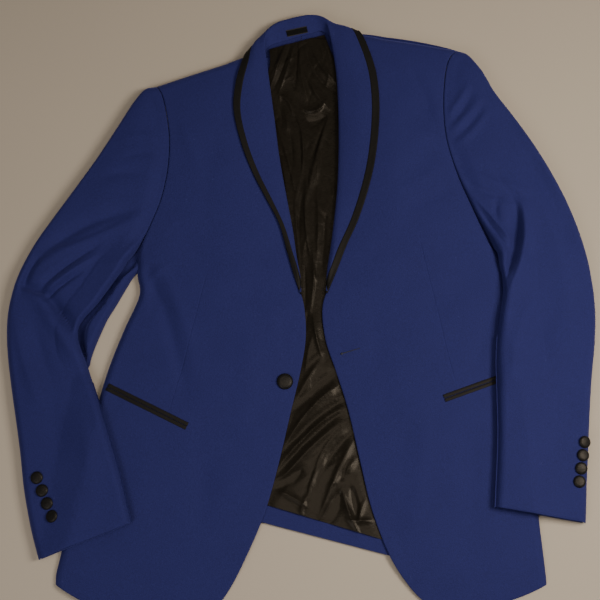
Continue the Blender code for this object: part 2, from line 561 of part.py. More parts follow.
def shawl_section(row, ground, on_front):
    """Section of the shawl from its stand, round the fold, to its outer edge."""
    roll = Vector((row.roll_x, row.roll_y, row.roll_z))
    middle = Vector((row.mid_x, row.mid_y, row.mid_z))
    edge = Vector((row.edge_x, row.edge_y, row.edge_z))
    stand = Vector((row.stand_x, row.stand_y, row.stand_z))
    inward = ((stand - roll).normalized() + (middle - roll).normalized()).normalized()
    across = middle - stand
    across -= inward * across.dot(inward)
    across.normalize()
    turn_in = roll + (inward - across) * row.half
    turn_out = roll + (inward + across) * row.half
    points = [stand, turn_in, roll, turn_out, middle, edge]
    controls = [tuple(point) for point in points]
    section = [Vector(spline(controls, place)) for place in ALONG_SECTION]
    if on_front:
        for point, place in zip(section, ALONG_SECTION):
            if place > LAPEL_FROM:
                lapel = ground.drape(point.x, point.y, LAPEL_DRAPE) + WOOL + LAPEL_GAP
                point.z = max(point.z, lapel)
    return section


def shawl_grid(rows, ground):
    grid = []
    places = list(range(len(rows))) + [SHAWL_SHOULDER - 0.5, SHAWL_SHOULDER + 0.5]
    places += [SHAWL_SHOULDER + 1.5, SHAWL_SHOULDER + 2.5]
    for place in sorted(places):
        row = spline(rows, place)
        grid.append(shawl_section(row, ground, place < SHAWL_SHOULDER))
    return grid


def trim_section(section):
    """Points across the satin strip, measured back from the shawl's outer edge."""
    leg = section[-4:]
    reach = sum((b - a).length for a, b in zip(leg, leg[1:]))
    width = min(TRIM_WIDTH, reach * TRIM_SHARE)
    points = []
    for part in ACROSS_TRIM:
        left = part * width
        for start, end in zip(reversed(leg[1:]), reversed(leg[:-1])):
            step = (end - start).length
            if left <= step:
                points.append(start.lerp(end, left / step))
                break
            left -= step
    return points


def moved_out(grid, distance):
    """Copy of a grid, moved out along its own normals and kept above the ground."""
    result = []
    for i, line in enumerate(grid):
        new = []
        for j, point in enumerate(line):
            down = grid[min(i + 1, len(grid) - 1)][j] - grid[max(i - 1, 0)][j]
            over = line[min(j + 1, len(line) - 1)] - line[max(j - 1, 0)]
            normal = over.cross(down).normalized()
            moved = point + normal * distance
            moved.z = max(moved.z, 0.0)
            new.append(moved)
        result.append(new)
    return result


# ---------------------------------------------------------------- objects
def clear_scene():
    for thing in list(bpy.data.objects):
        bpy.data.objects.remove(thing, do_unlink=True)


def make_collection(name):
    group = bpy.data.collections.new(name)
    bpy.context.scene.collection.children.link(group)
    return group


def make_material(name):
    finish = FINISHES[name]
    material = bpy.data.materials.new(name)
    material.use_nodes = True
    shader = material.node_tree.nodes["Principled BSDF"]
    shader.inputs["Base Color"].default_value = (*finish.color, 1.0)
    shader.inputs["Roughness"].default_value = finish.roughness
    shader.inputs["Metallic"].default_value = 0.0
    shader.inputs["Sheen Weight"].default_value = finish.sheen
    return material


def to_world(point):
    return Vector(((point[0] - MIDDLE_X) * CM, (point[1] - MIDDLE_Y) * CM, point[2] * CM))


def add_object(name, mesh, material, group):
    thing = bpy.data.objects.new(name, mesh)
    mesh.materials.append(bpy.data.materials[material])
    group.objects.link(thing)
    return thing


def cloth(name, grid, wall, material, group):
    """Cloth piece: an open loft whose faces point outwards, with a wall inside it."""
    across = len(grid[0])
    points = [to_world(point) for line in grid for point in line]
    faces = []
    for i in range(len(grid) - 1):
        for j in range(across - 1):
            k = i * across + j
            faces.append((k, k + across, k + across + 1, k + 1))
    mesh = bpy.data.meshes.new(name)
    mesh.from_pydata(points, [], faces)
    upward = sum(face.normal.z * face.area for face in mesh.polygons)
    if upward < 0:
        mesh.flip_normals()
    mesh.shade_smooth()
    thing = add_object(name, mesh, material, group)
    solid = thing.modifiers.new("wall", "SOLIDIFY")
    solid.thickness = wall * CM
    solid.offset = -1.0
    solid.use_rim = True
    return thing


def covered_button(name, place, up, radius, group):
    """Domed button covered in satin, turned about its own axis."""
    rise = BUTTON_RISE * radius
    outline = (
        (0.0, 1.0),
        (0.60, 0.85),
        (1.0, 0.35),
        (0.85, 0.0),
        (0.0, 0.0),
    )
    points = [Vector((x * radius * CM, 0.0, z * rise * CM)) for x, z in outline]
    edges = [(i, i + 1) for i in range(len(points) - 1)]
    mesh = bpy.data.meshes.new(name)
    mesh.from_pydata(points, edges, [])
    thing = add_object(name, mesh, "black_satin", group)
    thing.location = to_world(place)
    thing.rotation_mode = "QUATERNION"
    thing.rotation_quaternion = Vector((0.0, 0.0, 1.0)).rotation_difference(up)
    turn = thing.modifiers.new("turn", "SCREW")
    turn.steps = 12
    turn.render_steps = 12
    turn.use_merge_vertices = True
    turn.merge_threshold = 0.00001
    turn.use_smooth_shade = True
    return thing


def strip_on(ground, ends, width, steps, lift, shift=0.0):
    """Grid of a narrow strip that lies on the ground's upper face, moved out by a lift."""
    start = Vector(ends[0])
    run = Vector(ends[1]) - start
    side = Vector((-run.y, run.x)).normalized()
    if side.y < 0:
        side = -side
    grid = []
    for step in range(steps + 1):
        line = []
        for across in (-0.5, 0.0, 0.5):
            flat = start + run * (step / steps) + side * (across * width + shift)
            place, up = ground.normal(flat.x, flat.y)
            place.z = ground.drape(flat.x, flat.y, STRIP_DRAPE)
            line.append(place + up * lift)
        grid.append(line)
    return grid


def build_back(group):
    for name, rows, sign in (("back_right", BACK_RIGHT, -1), ("back_left", BACK_LEFT, 1)):
        rows = [row._replace(near_x=row.near_x + sign * SEAM_HALF) for row in rows]
        cloth(name, flat_grid(rows, ACROSS_BACK, WOOL), WOOL, "blue_wool", group)
    sides = (
        ("side_right", SIDE_SEAM_RIGHT, FRONT_RIGHT, -1),
        ("side_left", SIDE_SEAM_LEFT, FRONT_LEFT, 1),
    )
    for name, seam, front, sign in sides:
        grid = []
        for (seam_x, seam_y), row in zip(seam, front[ARMHOLE_ROWS:]):
            near = Vector((seam_x + sign * 3 * SEAM_HALF, seam_y, WOOL))
            far = Vector((row.side_x - sign * (PLATE_INSET + SIDE_INSET), row.side_y, WOOL))
            grid.append([near, far])
        cloth(name, grid, WOOL, "blue_wool", group)
    cloth("hem_back", flat_grid(HEM_BACK, ACROSS_LINING, HEM), HEM, "blue_wool", group)
    lining = flat_grid(LINING_BACK, ACROSS_LINING, LINING, LINING_FOLDS, 2)
    cloth("lining_back", lining, LINING, "lining_satin", group)


def build_front(side, rows, creases, shawl, pocket, group):
    """Front with its half of the shawl, the satin on the shawl's edge and the pocket's jets."""
    grid = front_grid(rows, creases)
    cloth("front_" + side, grid, WOOL, "blue_wool", group)
    front = Ground()
    front.add(grid)
    collar = shawl_grid(shawl, front)
    cloth("shawl_" + side, collar, WOOL, "blue_wool", group)
    sign = -1.0 if side == "right" else 1.0
    trim = moved_out([trim_section(line) for line in collar], sign * (TRIM_GAP + SATIN))
    cloth("trim_" + side, trim, SATIN, "black_satin", group)
    body = Ground()
    body.add(grid)
    for name, sign in (("upper", 1), ("lower", -1)):
        shift = sign * (JET_WIDTH / 2 + GAP)
        jet = strip_on(front, pocket, JET_WIDTH, 9, SATIN + 2 * GAP, shift)
        cloth("jet_{}_{}".format(side, name), jet, SATIN, "black_satin", group)
        body.add(jet)
    return front, body, collar


def build_sleeve(side, rows, front, creases, body, lies_from, group):
    under = under_sleeve_grid(rows, body, lies_from)
    cloth("sleeve_under_" + side, under, WOOL, "blue_wool", group)
    body.add(under)
    top = top_sleeve_grid(rows, front, creases, body)
    cloth("sleeve_top_" + side, top, WOOL, "blue_wool", group)
    sleeve = Ground()
    sleeve.add(top)
    return sleeve


def build_cuff_buttons(side, ends, sleeve, group):
    for number in range(CUFF_BUTTON_COUNT):
        flat = Vector(ends[0]).lerp(Vector(ends[1]), number / (CUFF_BUTTON_COUNT - 1))
        place, up = sleeve.normal(flat.x, flat.y)
        name = "button_cuff_{}_{}".format(side, number + 1)
        covered_button(name, place + up * BUTTON_GAP, up, CUFF_BUTTON_R, group)


def build_jacket():
    clear_scene()
    group = make_collection("shawl_lapel_dinner_jacket")
    for name in FINISHES:
        make_material(name)
    build_back(group)
    right, right_body, right_collar = build_front(
        "right", FRONT_RIGHT, FRONT_RIGHT_FOLDS, SHAWL_RIGHT, POCKET_RIGHT, group
    )
    left, left_body, left_collar = build_front(
        "left", FRONT_LEFT, FRONT_LEFT_FOLDS, SHAWL_LEFT, POCKET_LEFT, group
    )
    sleeve_right = build_sleeve(
        "right", SLEEVE_RIGHT, FRONT_RIGHT, SLEEVE_RIGHT_FOLDS, right_body, RIGHT_LIES_FROM, group
    )
    sleeve_left = build_sleeve(
        "left", SLEEVE_LEFT, FRONT_LEFT, SLEEVE_LEFT_FOLDS, left_body, LEFT_LIES_FROM, group
    )
    hole = strip_on(left, BUTTONHOLE, BUTTONHOLE_WIDTH, 4, SATIN + 2 * GAP)
    cloth("buttonhole", hole, SATIN, "dark_thread", group)
    collar = Ground()
    collar.add(right_collar)
    collar.add(left_collar)
    label = strip_on(collar, LABEL, LABEL_WIDTH, 2, LABEL_THICK + 2 * GAP)
    cloth("neck_label", label, LABEL_THICK, "lining_satin", group)
    place, up = right.normal(*FRONT_BUTTON_PLACE)
    covered_button("button_front", place + up * BUTTON_GAP, up, FRONT_BUTTON_R, group)
    build_cuff_buttons("right", CUFF_BUTTONS_RIGHT, sleeve_right, group)
    build_cuff_buttons("left", CUFF_BUTTONS_LEFT, sleeve_left, group)


build_jacket()
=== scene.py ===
"""Looks of a dinner jacket with a shawl lapel, laid open and face up.

Tables are in centimetres on the surface the jacket lies on: +X towards the wearer's left,
+Y towards the neck, +Z up. Each cloth piece is a fine loft with a wall; its folds are soft
troughs and ridges laid along short curves.
"""

import math
from collections import namedtuple

import bpy
import numpy as np
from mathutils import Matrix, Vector
from mathutils.bvhtree import BVHTree


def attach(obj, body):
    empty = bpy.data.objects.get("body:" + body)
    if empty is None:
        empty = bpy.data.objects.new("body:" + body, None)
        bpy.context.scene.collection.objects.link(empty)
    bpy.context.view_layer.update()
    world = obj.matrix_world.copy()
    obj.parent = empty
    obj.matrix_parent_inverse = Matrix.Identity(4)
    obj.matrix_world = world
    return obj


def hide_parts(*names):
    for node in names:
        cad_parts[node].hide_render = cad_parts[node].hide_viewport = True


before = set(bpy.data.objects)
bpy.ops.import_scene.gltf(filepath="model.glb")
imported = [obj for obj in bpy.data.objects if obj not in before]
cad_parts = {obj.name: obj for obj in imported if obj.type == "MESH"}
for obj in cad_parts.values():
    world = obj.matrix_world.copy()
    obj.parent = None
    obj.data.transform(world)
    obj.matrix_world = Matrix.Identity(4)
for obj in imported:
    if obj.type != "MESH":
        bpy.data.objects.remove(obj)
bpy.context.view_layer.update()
bpy.ops.object.select_all(action="DESELECT")

# ---------------------------------------------------------------- driving sizes, centimetres
CM = 0.01
MIDDLE_X = 0.20
MIDDLE_Y = 0.25

WOOL = 0.18
SATIN = 0.06
LINING = 0.08
HEM = 0.12
GAP = 0.01
SEAM_HALF = 0.04

FOLD_ROUND = 1.2
SHOULDER_ROUND = 1.3
SLEEVE_ROUND = 1.1
FOOT = 0.40
NECK_LIFT = 0.66
PLATE_INSET = 0.34
REST_GAP = 0.10
LINING_LIFT = 0.20
LINING_TOP = 39.7
LINING_TOP_SLOPE = 0.25
LAPEL_GAP = 0.08
SEAM_ROUND = 0.30
SEAM_DROP = 0.12
EDGE_ROUND = 0.30
EDGE_DROP = 0.08
HEAD_ROPE = 0.10
GAPE = 0.85
GAPE_ROUND = 0.55
GAPE_FROM = {"right": 5.9, "left": 4.3}
TUCK = 0.35
UNDER_JOIN = 0.80
UNDER_JOIN_ROWS = (4.6, 8.3)
ROLL_DIP = 1.0
ROLL_DIP_FROM = 0.58
ROLL_DIP_RUN = 0.28
ROLL_RISE = 1.25
HEM_TURN = ((0.02, 0.01), (0.04, 0.04), (0.05, 0.10), (0.05, 0.20), (0.04, 0.40))
SLACK_REACH = 2.2
HAND_HEIGHT = 0.10
HAND_LENGTHS = (5.5, 7.3, 9.1, 12.4, 16.8)

DART_STRIP = 0.35
DART_DEPTH = 0.05
DART_PUCKER = 0.03
DART_HALF = 0.05
TRIM_WIDTH = 1.0
TRIM_SHARES = (0.94, 0.42)
TRIM_OVERRUN = 0.30
JET_WIDTH = 0.50
STRIP_CROWN = 0.05
FRONT_BUTTON_R = 1.1
CUFF_BUTTON_R = 0.82
BUTTON_RISE = 0.46
BUTTON_DISH = 0.05
BUTTON_CUT = 0.22
BUTTON_GAP = 0.06
BUTTONHOLE_WIDTH = 0.34
EYE_SHARES = ((0.0, 0.3), (0.03, 1.0), (0.08, 1.0), (0.13, 0.42), (1.0, 0.2))
LABEL_WIDTH = 0.9
LABEL_THICK = 0.05

CREASE_STEPS = 49
CREASE_REACH = 3.2
DRAPE_SLOPE = 0.28
DRAPE_REACH = 4.0
LAPEL_SLOPE = 0.35
LAPEL_REACH = 1.2
WOOL_CRISP = 1.7
SATIN_CRISP = 1.25
LAPEL_SOFTENING = 4
MAP_STEP = 0.25
RAY_TOP = 50.0
GAP_HEIGHT = 1.5
EDGE_ANGLE = 50.0
SMOOTH_ANGLE = 50.0
RIM_ANGLE = 40.0
RIM_BEVEL = 0.03
BUTTON_AROUND = 48
BUTTON_RINGS = 28
GROUND_HALF = 45.0
GROUND_MARGIN = 4.0
FLOOR_SIZE = 6.0
FLOOR_DROP = 0.001
SENSOR_WIDTH = 36.0

# Seeds of what is drawn at random on each cloth.
LINING_SEED = 3
HEM_SEED = 5
FRONT_SEED = 21
SHAWL_SEED = 31
SLEEVE_SEED = 41

# Small folds strewn over the lining, low and high: seed, count, box, heading, stray, width, height.
STREWN_FOLDS = (
    (11, 34, (-2.6, -26.0, 7.0, -8.0), 0.85, 0.30, 0.20, 0.10),
    (12, 40, (-3.6, 2.0, 4.6, 38.0), 1.35, 0.45, 0.20, 0.10),
)

# ---------------------------------------------------------------- colours
WOOL_DEEP = (0.0160, 0.0165, 0.088, 1.0)
WOOL_FAIR = (0.0205, 0.0215, 0.112, 1.0)
WOOL_SHADOW = (0.0100, 0.0108, 0.060, 1.0)
WOOL_NAP = (0.032, 0.035, 0.155, 1.0)
WOOL_LINT = (0.060, 0.066, 0.200, 1.0)
SATIN_GLEAM = (1.0, 0.86, 0.70, 1.0)
SATIN_DEEP = (0.006, 0.006, 0.006, 1.0)
SATIN_FAIR = (0.012, 0.011, 0.010, 1.0)
LINING_DEEP = (0.005, 0.004, 0.003, 1.0)
LINING_FAIR = (0.016, 0.013, 0.009, 1.0)
THREAD_DEEP = (0.003, 0.004, 0.012, 1.0)
THREAD_FAIR = (0.008, 0.010, 0.032, 1.0)
# Painted shade for the slit of the buttonhole.
THREAD_SLIT_SHADE = (0.003, 0.003, 0.006, 1.0)
LABEL_DEEP = (0.003, 0.003, 0.003, 1.0)
LABEL_FAIR = (0.005, 0.005, 0.004, 1.0)
LABEL_BORDER = (0.030, 0.027, 0.022, 1.0)
FLOOR_LOW = (0.35, 0.290, 0.220, 1.0)
FLOOR_HIGH = (0.41, 0.342, 0.262, 1.0)

# ---------------------------------------------------------------- camera, on the table; lamps, metres
CAMERA_PLACE = (0.0, -37.05, 145.4)
CAMERA_TILT = 14.3
CAMERA_LENS = 64.8
Lamp = namedtuple("Lamp", "name x y z size power color")
LAMPS = [
    Lamp("key", 0.95, -0.10, 1.15, 0.55, 20.0, (1.0, 0.95, 0.88)),
    Lamp("fill", -0.70, -1.15, 1.30, 0.9, 10.0, (0.98, 0.97, 1.0)),
    Lamp("top", 0.05, -0.05, 1.90, 0.9, 10.0, (1.0, 0.93, 0.84)),
]
WORLD_COLOR = (0.90, 0.93, 1.0, 1.0)
WORLD_STRENGTH = 0.10
LAMP_TARGET = (0.0, 0.0, 0.0)

# ---------------------------------------------------------------- tables
def table(kind, *rows):
    """Rows of plain numbers as rows with named columns."""
    return [kind(*row) for row in rows]


# A front, row by row from the shoulder seam to the hem. edge: roll line, then front edge.
# side: armhole seam to row 7, then the side fold. fold: 1 where the side is folded under.
# bow: how far the middle of the row drops towards the hem.
FrontRow = namedtuple("FrontRow", "edge_x edge_y side_x side_y edge_z body_z side_z fold bow")
FRONT_RIGHT = table(
    FrontRow,
    (-7.0, 36.9, -21.0, 31.9, 1.50, 1.75, 1.60, 0, 0.0),
    (-5.3, 33.0, -19.9, 30.2, 1.45, 2.00, 1.85, 0, 0.0),
    (-4.75, 29.5, -19.1, 27.0, 1.35, 2.15, 1.95, 0, 0.0),
    (-4.1, 25.0, -18.6, 23.2, 1.25, 2.20, 1.90, 0, 0.0),
    (-3.5, 20.0, -18.7, 18.8, 1.15, 2.15, 1.80, 0, 0.0),
    (-2.65, 15.0, -19.5, 14.4, 1.05, 2.05, 1.70, 0, 0.0),
    (-1.85, 11.0, -20.8, 10.8, 1.00, 1.90, 1.60, 0, 0.0),
    (-1.25, 7.0, -22.2, 7.4, 0.95, 1.75, 1.50, 0, 0.0),
    (-0.65, 3.0, -22.7, 3.8, 0.96, 1.60, 1.45, 1, 0.0),
    (0.5, -0.7, -22.3, 0.6, 0.88, 1.50, 1.40, 1, 0.0),
    (0.8, -5.3, -24.3, -4.5, 0.66, 1.45, 1.35, 1, 0.0),
    (0.1, -10.0, -26.2, -10.0, 0.64, 1.40, 1.30, 1, 0.1),
    (-1.3, -16.0, -27.7, -16.0, 0.64, 1.35, 1.25, 1, 0.2),
    (-2.8, -22.5, -29.2, -23.0, 0.72, 1.25, 1.15, 1, 0.3),
    (-4.6, -29.0, -30.4, -29.5, 0.76, 1.10, 1.05, 1, 0.6),
    (-7.0, -34.7, -31.4, -34.8, 0.74, 0.90, 0.95, 1, 1.2),
    (-9.0, -38.6, -31.8, -36.9, 0.48, 0.66, 0.85, 1, 2.2),
    (-10.6, -40.9, -31.8, -38.2, 0.42, 0.46, 0.75, 1, 2.9),
)
FRONT_LEFT = table(
    FrontRow,
    (8.2, 40.2, 23.3, 37.6, 1.50, 1.75, 1.60, 0, -0.2),
    (5.9, 36.0, 21.7, 35.8, 1.45, 2.00, 1.85, 0, 0.0),
    (6.05, 31.5, 20.9, 32.4, 1.35, 2.15, 1.95, 0, 0.0),
    (6.15, 26.8, 20.6, 27.4, 1.25, 2.20, 1.90, 0, 0.0),
    (6.1, 21.5, 21.0, 22.8, 1.15, 2.15, 1.80, 0, 0.0),
    (5.85, 16.0, 22.4, 17.8, 1.05, 2.05, 1.70, 0, 0.0),
    (5.4, 11.4, 24.3, 13.2, 1.00, 1.90, 1.60, 0, 0.0),
    (4.9, 7.0, 26.2, 8.6, 0.95, 1.75, 1.50, 0, 0.0),
    (4.3, 2.8, 28.3, 3.8, 0.96, 1.60, 1.45, 1, 0.0),
    (3.1, -1.2, 28.7, -0.6, 0.88, 1.50, 1.40, 1, 0.0),
    (3.5, -5.8, 29.2, -5.5, 0.66, 1.45, 1.35, 1, 0.0),
    (4.9, -10.2, 30.2, -10.5, 0.66, 1.40, 1.30, 1, 0.1),
    (6.5, -15.5, 30.8, -16.2, 0.68, 1.35, 1.25, 1, 0.2),
    (8.0, -22.3, 31.2, -22.8, 0.72, 1.25, 1.15, 1, 0.3),
    (9.5, -28.8, 31.5, -29.3, 0.76, 1.10, 1.05, 1, 0.6),
    (11.8, -34.8, 31.9, -34.8, 0.74, 0.90, 0.95, 1, 1.2),
    (14.3, -38.6, 32.05, -36.9, 0.48, 0.66, 0.85, 1, 1.4),
    (16.3, -40.6, 32.1, -38.2, 0.42, 0.46, 0.75, 1, 1.5),
)
ARMHOLE_ROWS = 7

# A sleeve, row by row from its head to the cuff. inner: the forearm fold, which starts as the
# armhole seam. outer: the elbow fold. full: how far the cloth stands up from what it lies on.
# show: how far the under sleeve comes out past the top sleeve's inner fold.
SleeveRow = namedtuple("SleeveRow", "inner_x inner_y outer_x outer_y full show")
SLEEVE_RIGHT = table(
    SleeveRow,
    (-21.0, 31.9, -22.6, 31.7, 1.55, 0.0),
    (-19.9, 30.2, -24.4, 29.0, 1.95, 0.0),
    (-19.1, 27.0, -26.7, 24.8, 2.20, 0.0),
    (-18.6, 23.2, -29.2, 20.4, 2.30, 0.0),
    (-18.7, 18.8, -32.1, 15.8, 2.35, 0.0),
    (-19.5, 14.4, -34.9, 11.5, 2.30, 0.0),
    (-20.8, 10.8, -37.2, 7.8, 2.25, 0.0),
    (-22.2, 7.4, -39.0, 3.9, 2.20, 0.0),
    (-24.7, 3.6, -40.0, 0.2, 1.90, 1.8),
    (-27.6, -0.7, -40.35, -3.4, 1.70, 2.6),
    (-30.3, -4.6, -40.0, -7.6, 1.60, 3.6),
    (-28.9, -9.4, -39.2, -12.2, 1.55, 0.2),
    (-27.3, -13.6, -38.3, -16.6, 1.50, 0.0),
    (-25.5, -18.6, -37.4, -21.2, 1.45, 0.0),
    (-23.9, -23.4, -36.6, -26.0, 1.40, 0.0),
    (-22.7, -27.6, -35.4, -31.0, 1.35, 0.0),
    (-21.9, -30.4, -34.1, -35.1, 1.30, 0.0),
)
SLEEVE_LEFT = table(
    SleeveRow,
    (23.3, 37.6, 24.5, 37.2, 1.55, 0.0),
    (21.7, 35.8, 26.7, 34.2, 1.95, 0.0),
    (20.9, 32.4, 28.5, 30.6, 2.20, 0.0),
    (20.6, 27.4, 31.2, 26.6, 2.30, 0.0),
    (21.0, 22.8, 33.9, 22.2, 2.35, 0.0),
    (22.4, 17.8, 36.3, 17.6, 2.30, 0.0),
    (24.3, 13.2, 38.3, 12.8, 2.25, 0.0),
    (26.2, 8.6, 39.7, 8.0, 2.15, 0.0),
    (27.6, 4.4, 40.5, 3.2, 1.90, 0.0),
    (27.8, 0.6, 40.75, -1.6, 1.75, 0.0),
    (27.0, -3.9, 40.4, -6.2, 1.60, 0.0),
    (26.5, -8.8, 39.7, -10.8, 1.55, 0.0),
    (26.4, -13.6, 39.1, -15.6, 1.50, 0.0),
    (26.3, -18.4, 38.6, -20.4, 1.45, 0.0),
    (26.0, -22.8, 38.1, -25.0, 1.40, 0.0),
    (25.7, -26.2, 37.8, -28.4, 1.35, 0.0),
    (25.5, -28.4, 37.6, -30.4, 1.30, 0.0),
)

# A half of the shawl, station by station from the break of the lapel up to centre back.
# roll: the fold. half: half the fold's thickness. mid and edge: middle and outer edge of the
# lapel, then of the collar's fall. stand: inner edge of the facing, then of the collar stand.
ShawlRow = namedtuple(
    "ShawlRow",
    "roll_x roll_y roll_z half mid_x mid_y mid_z edge_x edge_y edge_z stand_x stand_y stand_z",
)
SHAWL_RIGHT = table(
    ShawlRow,
    (0.16, 0.9, 0.80, 0.14, 0.10, 0.85, 0.98, 0.02, 0.9, 0.98, -0.5, 0.8, 0.44),
    (0.05, 3.2, 0.87, 0.43, -0.5, 3.4, 1.3, -0.9, 3.6, 1.2, -1.1, 3.2, 0.44),
    (-0.45, 6.0, 0.90, 0.44, -1.3, 6.4, 1.4, -1.8, 6.8, 1.3, -1.7, 6.0, 0.46),
    (-0.95, 9.6, 0.94, 0.45, -2.1, 10.1, 1.5, -2.9, 10.7, 1.5, -2.3, 9.6, 0.49),
    (-1.60, 13.2, 0.98, 0.46, -3.3, 13.7, 1.6, -4.7, 14.3, 1.6, -3.0, 13.2, 0.56),
    (-2.30, 17.0, 1.04, 0.48, -4.6, 17.6, 1.8, -6.7, 18.3, 1.8, -3.7, 17.0, 0.60),
    (-3.00, 21.2, 1.12, 0.50, -5.9, 21.9, 2.0, -8.35, 22.7, 2.0, -4.4, 21.2, 0.64),
    (-3.60, 26.0, 1.20, 0.48, -6.8, 26.7, 2.2, -9.45, 27.6, 2.2, -5.0, 26.0, 0.70),
    (-4.20, 30.6, 1.30, 0.52, -7.1, 31.0, 2.3, -9.25, 31.6, 2.2, -5.6, 30.6, 0.76),
    (-4.75, 34.8, 1.55, 0.56, -6.9, 34.8, 2.4, -8.5, 34.9, 2.0, -5.7, 34.8, 0.90),
    (-5.15, 38.2, 2.00, 0.52, -6.7, 38.1, 1.9, -7.7, 37.3, 1.0, -5.1, 37.4, 0.95),
    (-4.75, 40.2, 1.80, 0.48, -6.2, 39.2, 0.9, -6.5, 37.2, 0.28, -4.4, 38.3, 0.90),
    (-3.40, 41.7, 1.50, 0.44, -4.5, 40.1, 0.50, -4.4, 36.5, 0.28, -3.0, 39.0, 0.85),
    (-1.50, 42.5, 1.35, 0.42, -2.0, 40.4, 0.36, -2.0, 36.5, 0.28, -1.5, 39.5, 0.80),
    (0.295, 42.95, 1.30, 0.42, 0.20, 40.8, 0.34, 0.14, 36.9, 0.28, 0.135, 40.0, 0.80),
)
SHAWL_LEFT = table(
    ShawlRow,
    (3.62, 1.0, 0.80, 0.14, 3.70, 1.0, 0.98, 3.80, 1.0, 0.98, 4.3, 1.0, 0.44),
    (3.75, 3.9, 0.87, 0.43, 4.4, 4.0, 1.3, 5.1, 4.1, 1.2, 5.0, 3.9, 0.44),
    (4.25, 7.2, 0.90, 0.44, 5.3, 7.3, 1.4, 6.35, 7.4, 1.3, 5.6, 7.2, 0.46),
    (4.75, 11.0, 0.94, 0.45, 6.5, 11.1, 1.5, 8.05, 11.2, 1.5, 6.2, 11.0, 0.49),
    (5.20, 15.2, 0.98, 0.46, 7.4, 15.3, 1.7, 9.45, 15.4, 1.7, 6.6, 15.2, 0.56),
    (5.45, 19.6, 1.04, 0.48, 8.0, 19.7, 1.9, 10.5, 19.8, 1.9, 6.9, 19.6, 0.60),
    (5.55, 24.2, 1.12, 0.50, 8.4, 24.3, 2.1, 11.1, 24.4, 2.1, 7.0, 24.2, 0.64),
    (5.50, 28.8, 1.20, 0.48, 8.5, 28.9, 2.2, 11.3, 29.0, 2.2, 6.9, 28.8, 0.70),
    (5.30, 33.2, 1.35, 0.52, 8.2, 33.4, 2.3, 10.9, 33.6, 2.2, 6.7, 33.2, 0.80),
    (4.80, 37.0, 1.65, 0.56, 7.4, 37.5, 2.3, 9.8, 37.7, 1.9, 6.0, 36.9, 0.90),
    (4.25, 40.3, 2.00, 0.52, 6.8, 40.8, 1.9, 8.5, 40.6, 1.1, 4.7, 39.2, 0.95),
    (3.75, 42.0, 1.80, 0.48, 5.7, 41.4, 0.9, 6.9, 39.8, 0.28, 3.9, 40.3, 0.90),
    (2.70, 42.9, 1.50, 0.44, 3.8, 41.2, 0.50, 4.7, 37.8, 0.28, 2.8, 40.75, 0.85),
    (1.45, 43.1, 1.35, 0.42, 1.9, 41.0, 0.36, 2.4, 37.2, 0.28, 1.4, 40.4, 0.80),
    (0.305, 42.95, 1.30, 0.42, 0.24, 40.8, 0.34, 0.22, 36.9, 0.28, 0.145, 40.0, 0.80),
)
SHAWL_SHOULDER = 10

# Flat pieces under the fronts, row by row towards the hem: both ends of the row, the height of
# their lower face, and the row's bow.
FlatRow = namedtuple("FlatRow", "near_x near_y far_x far_y low bow")
BACK_RIGHT = table(
    FlatRow,
    (0.1, 38.4, -20.3, 30.6, 0.54, 0.0),
    (0.0, 35.6, -19.9, 29.6, 0.54, 0.0),
    (0.0, 32.0, -19.2, 28.0, 0.00, 0.0),
    (-0.1, 26.0, -18.5, 24.0, 0.00, 0.0),
    (-0.3, 18.0, -18.7, 18.4, 0.00, 0.0),
    (-0.5, 11.0, -20.2, 11.6, 0.00, 0.0),
    (-0.7, 2.0, -19.8, 3.0, 0.00, 0.0),
    (-0.8, -6.0, -19.5, -6.0, 0.00, 0.0),
    (-0.9, -14.0, -19.6, -15.0, 0.00, 0.0),
    (-1.0, -23.0, -19.8, -24.0, 0.00, -0.6),
    (-1.0, -31.1, -20.0, -33.4, 0.00, -1.9),
)
BACK_LEFT = table(
    FlatRow,
    (0.1, 38.4, 22.4, 36.4, 0.54, -1.0),
    (0.0, 35.6, 21.3, 34.8, 0.54, -0.4),
    (0.0, 32.0, 20.7, 32.0, 0.00, 0.0),
    (-0.1, 27.0, 20.4, 27.4, 0.00, 0.0),
    (-0.2, 22.4, 20.8, 22.8, 0.00, 0.0),
    (-0.3, 17.4, 22.1, 17.8, 0.00, 0.0),
    (-0.5, 11.0, 23.0, 13.0, 0.00, 0.0),
    (-0.7, 2.0, 22.6, 3.0, 0.00, 0.0),
    (-0.8, -6.0, 21.8, -6.0, 0.00, 0.0),
    (-0.9, -14.0, 21.4, -15.0, 0.00, 0.0),
    (-1.0, -23.0, 21.2, -24.0, 0.00, 0.0),
    (-1.0, -31.1, 21.0, -36.4, 0.00, 0.2),
)

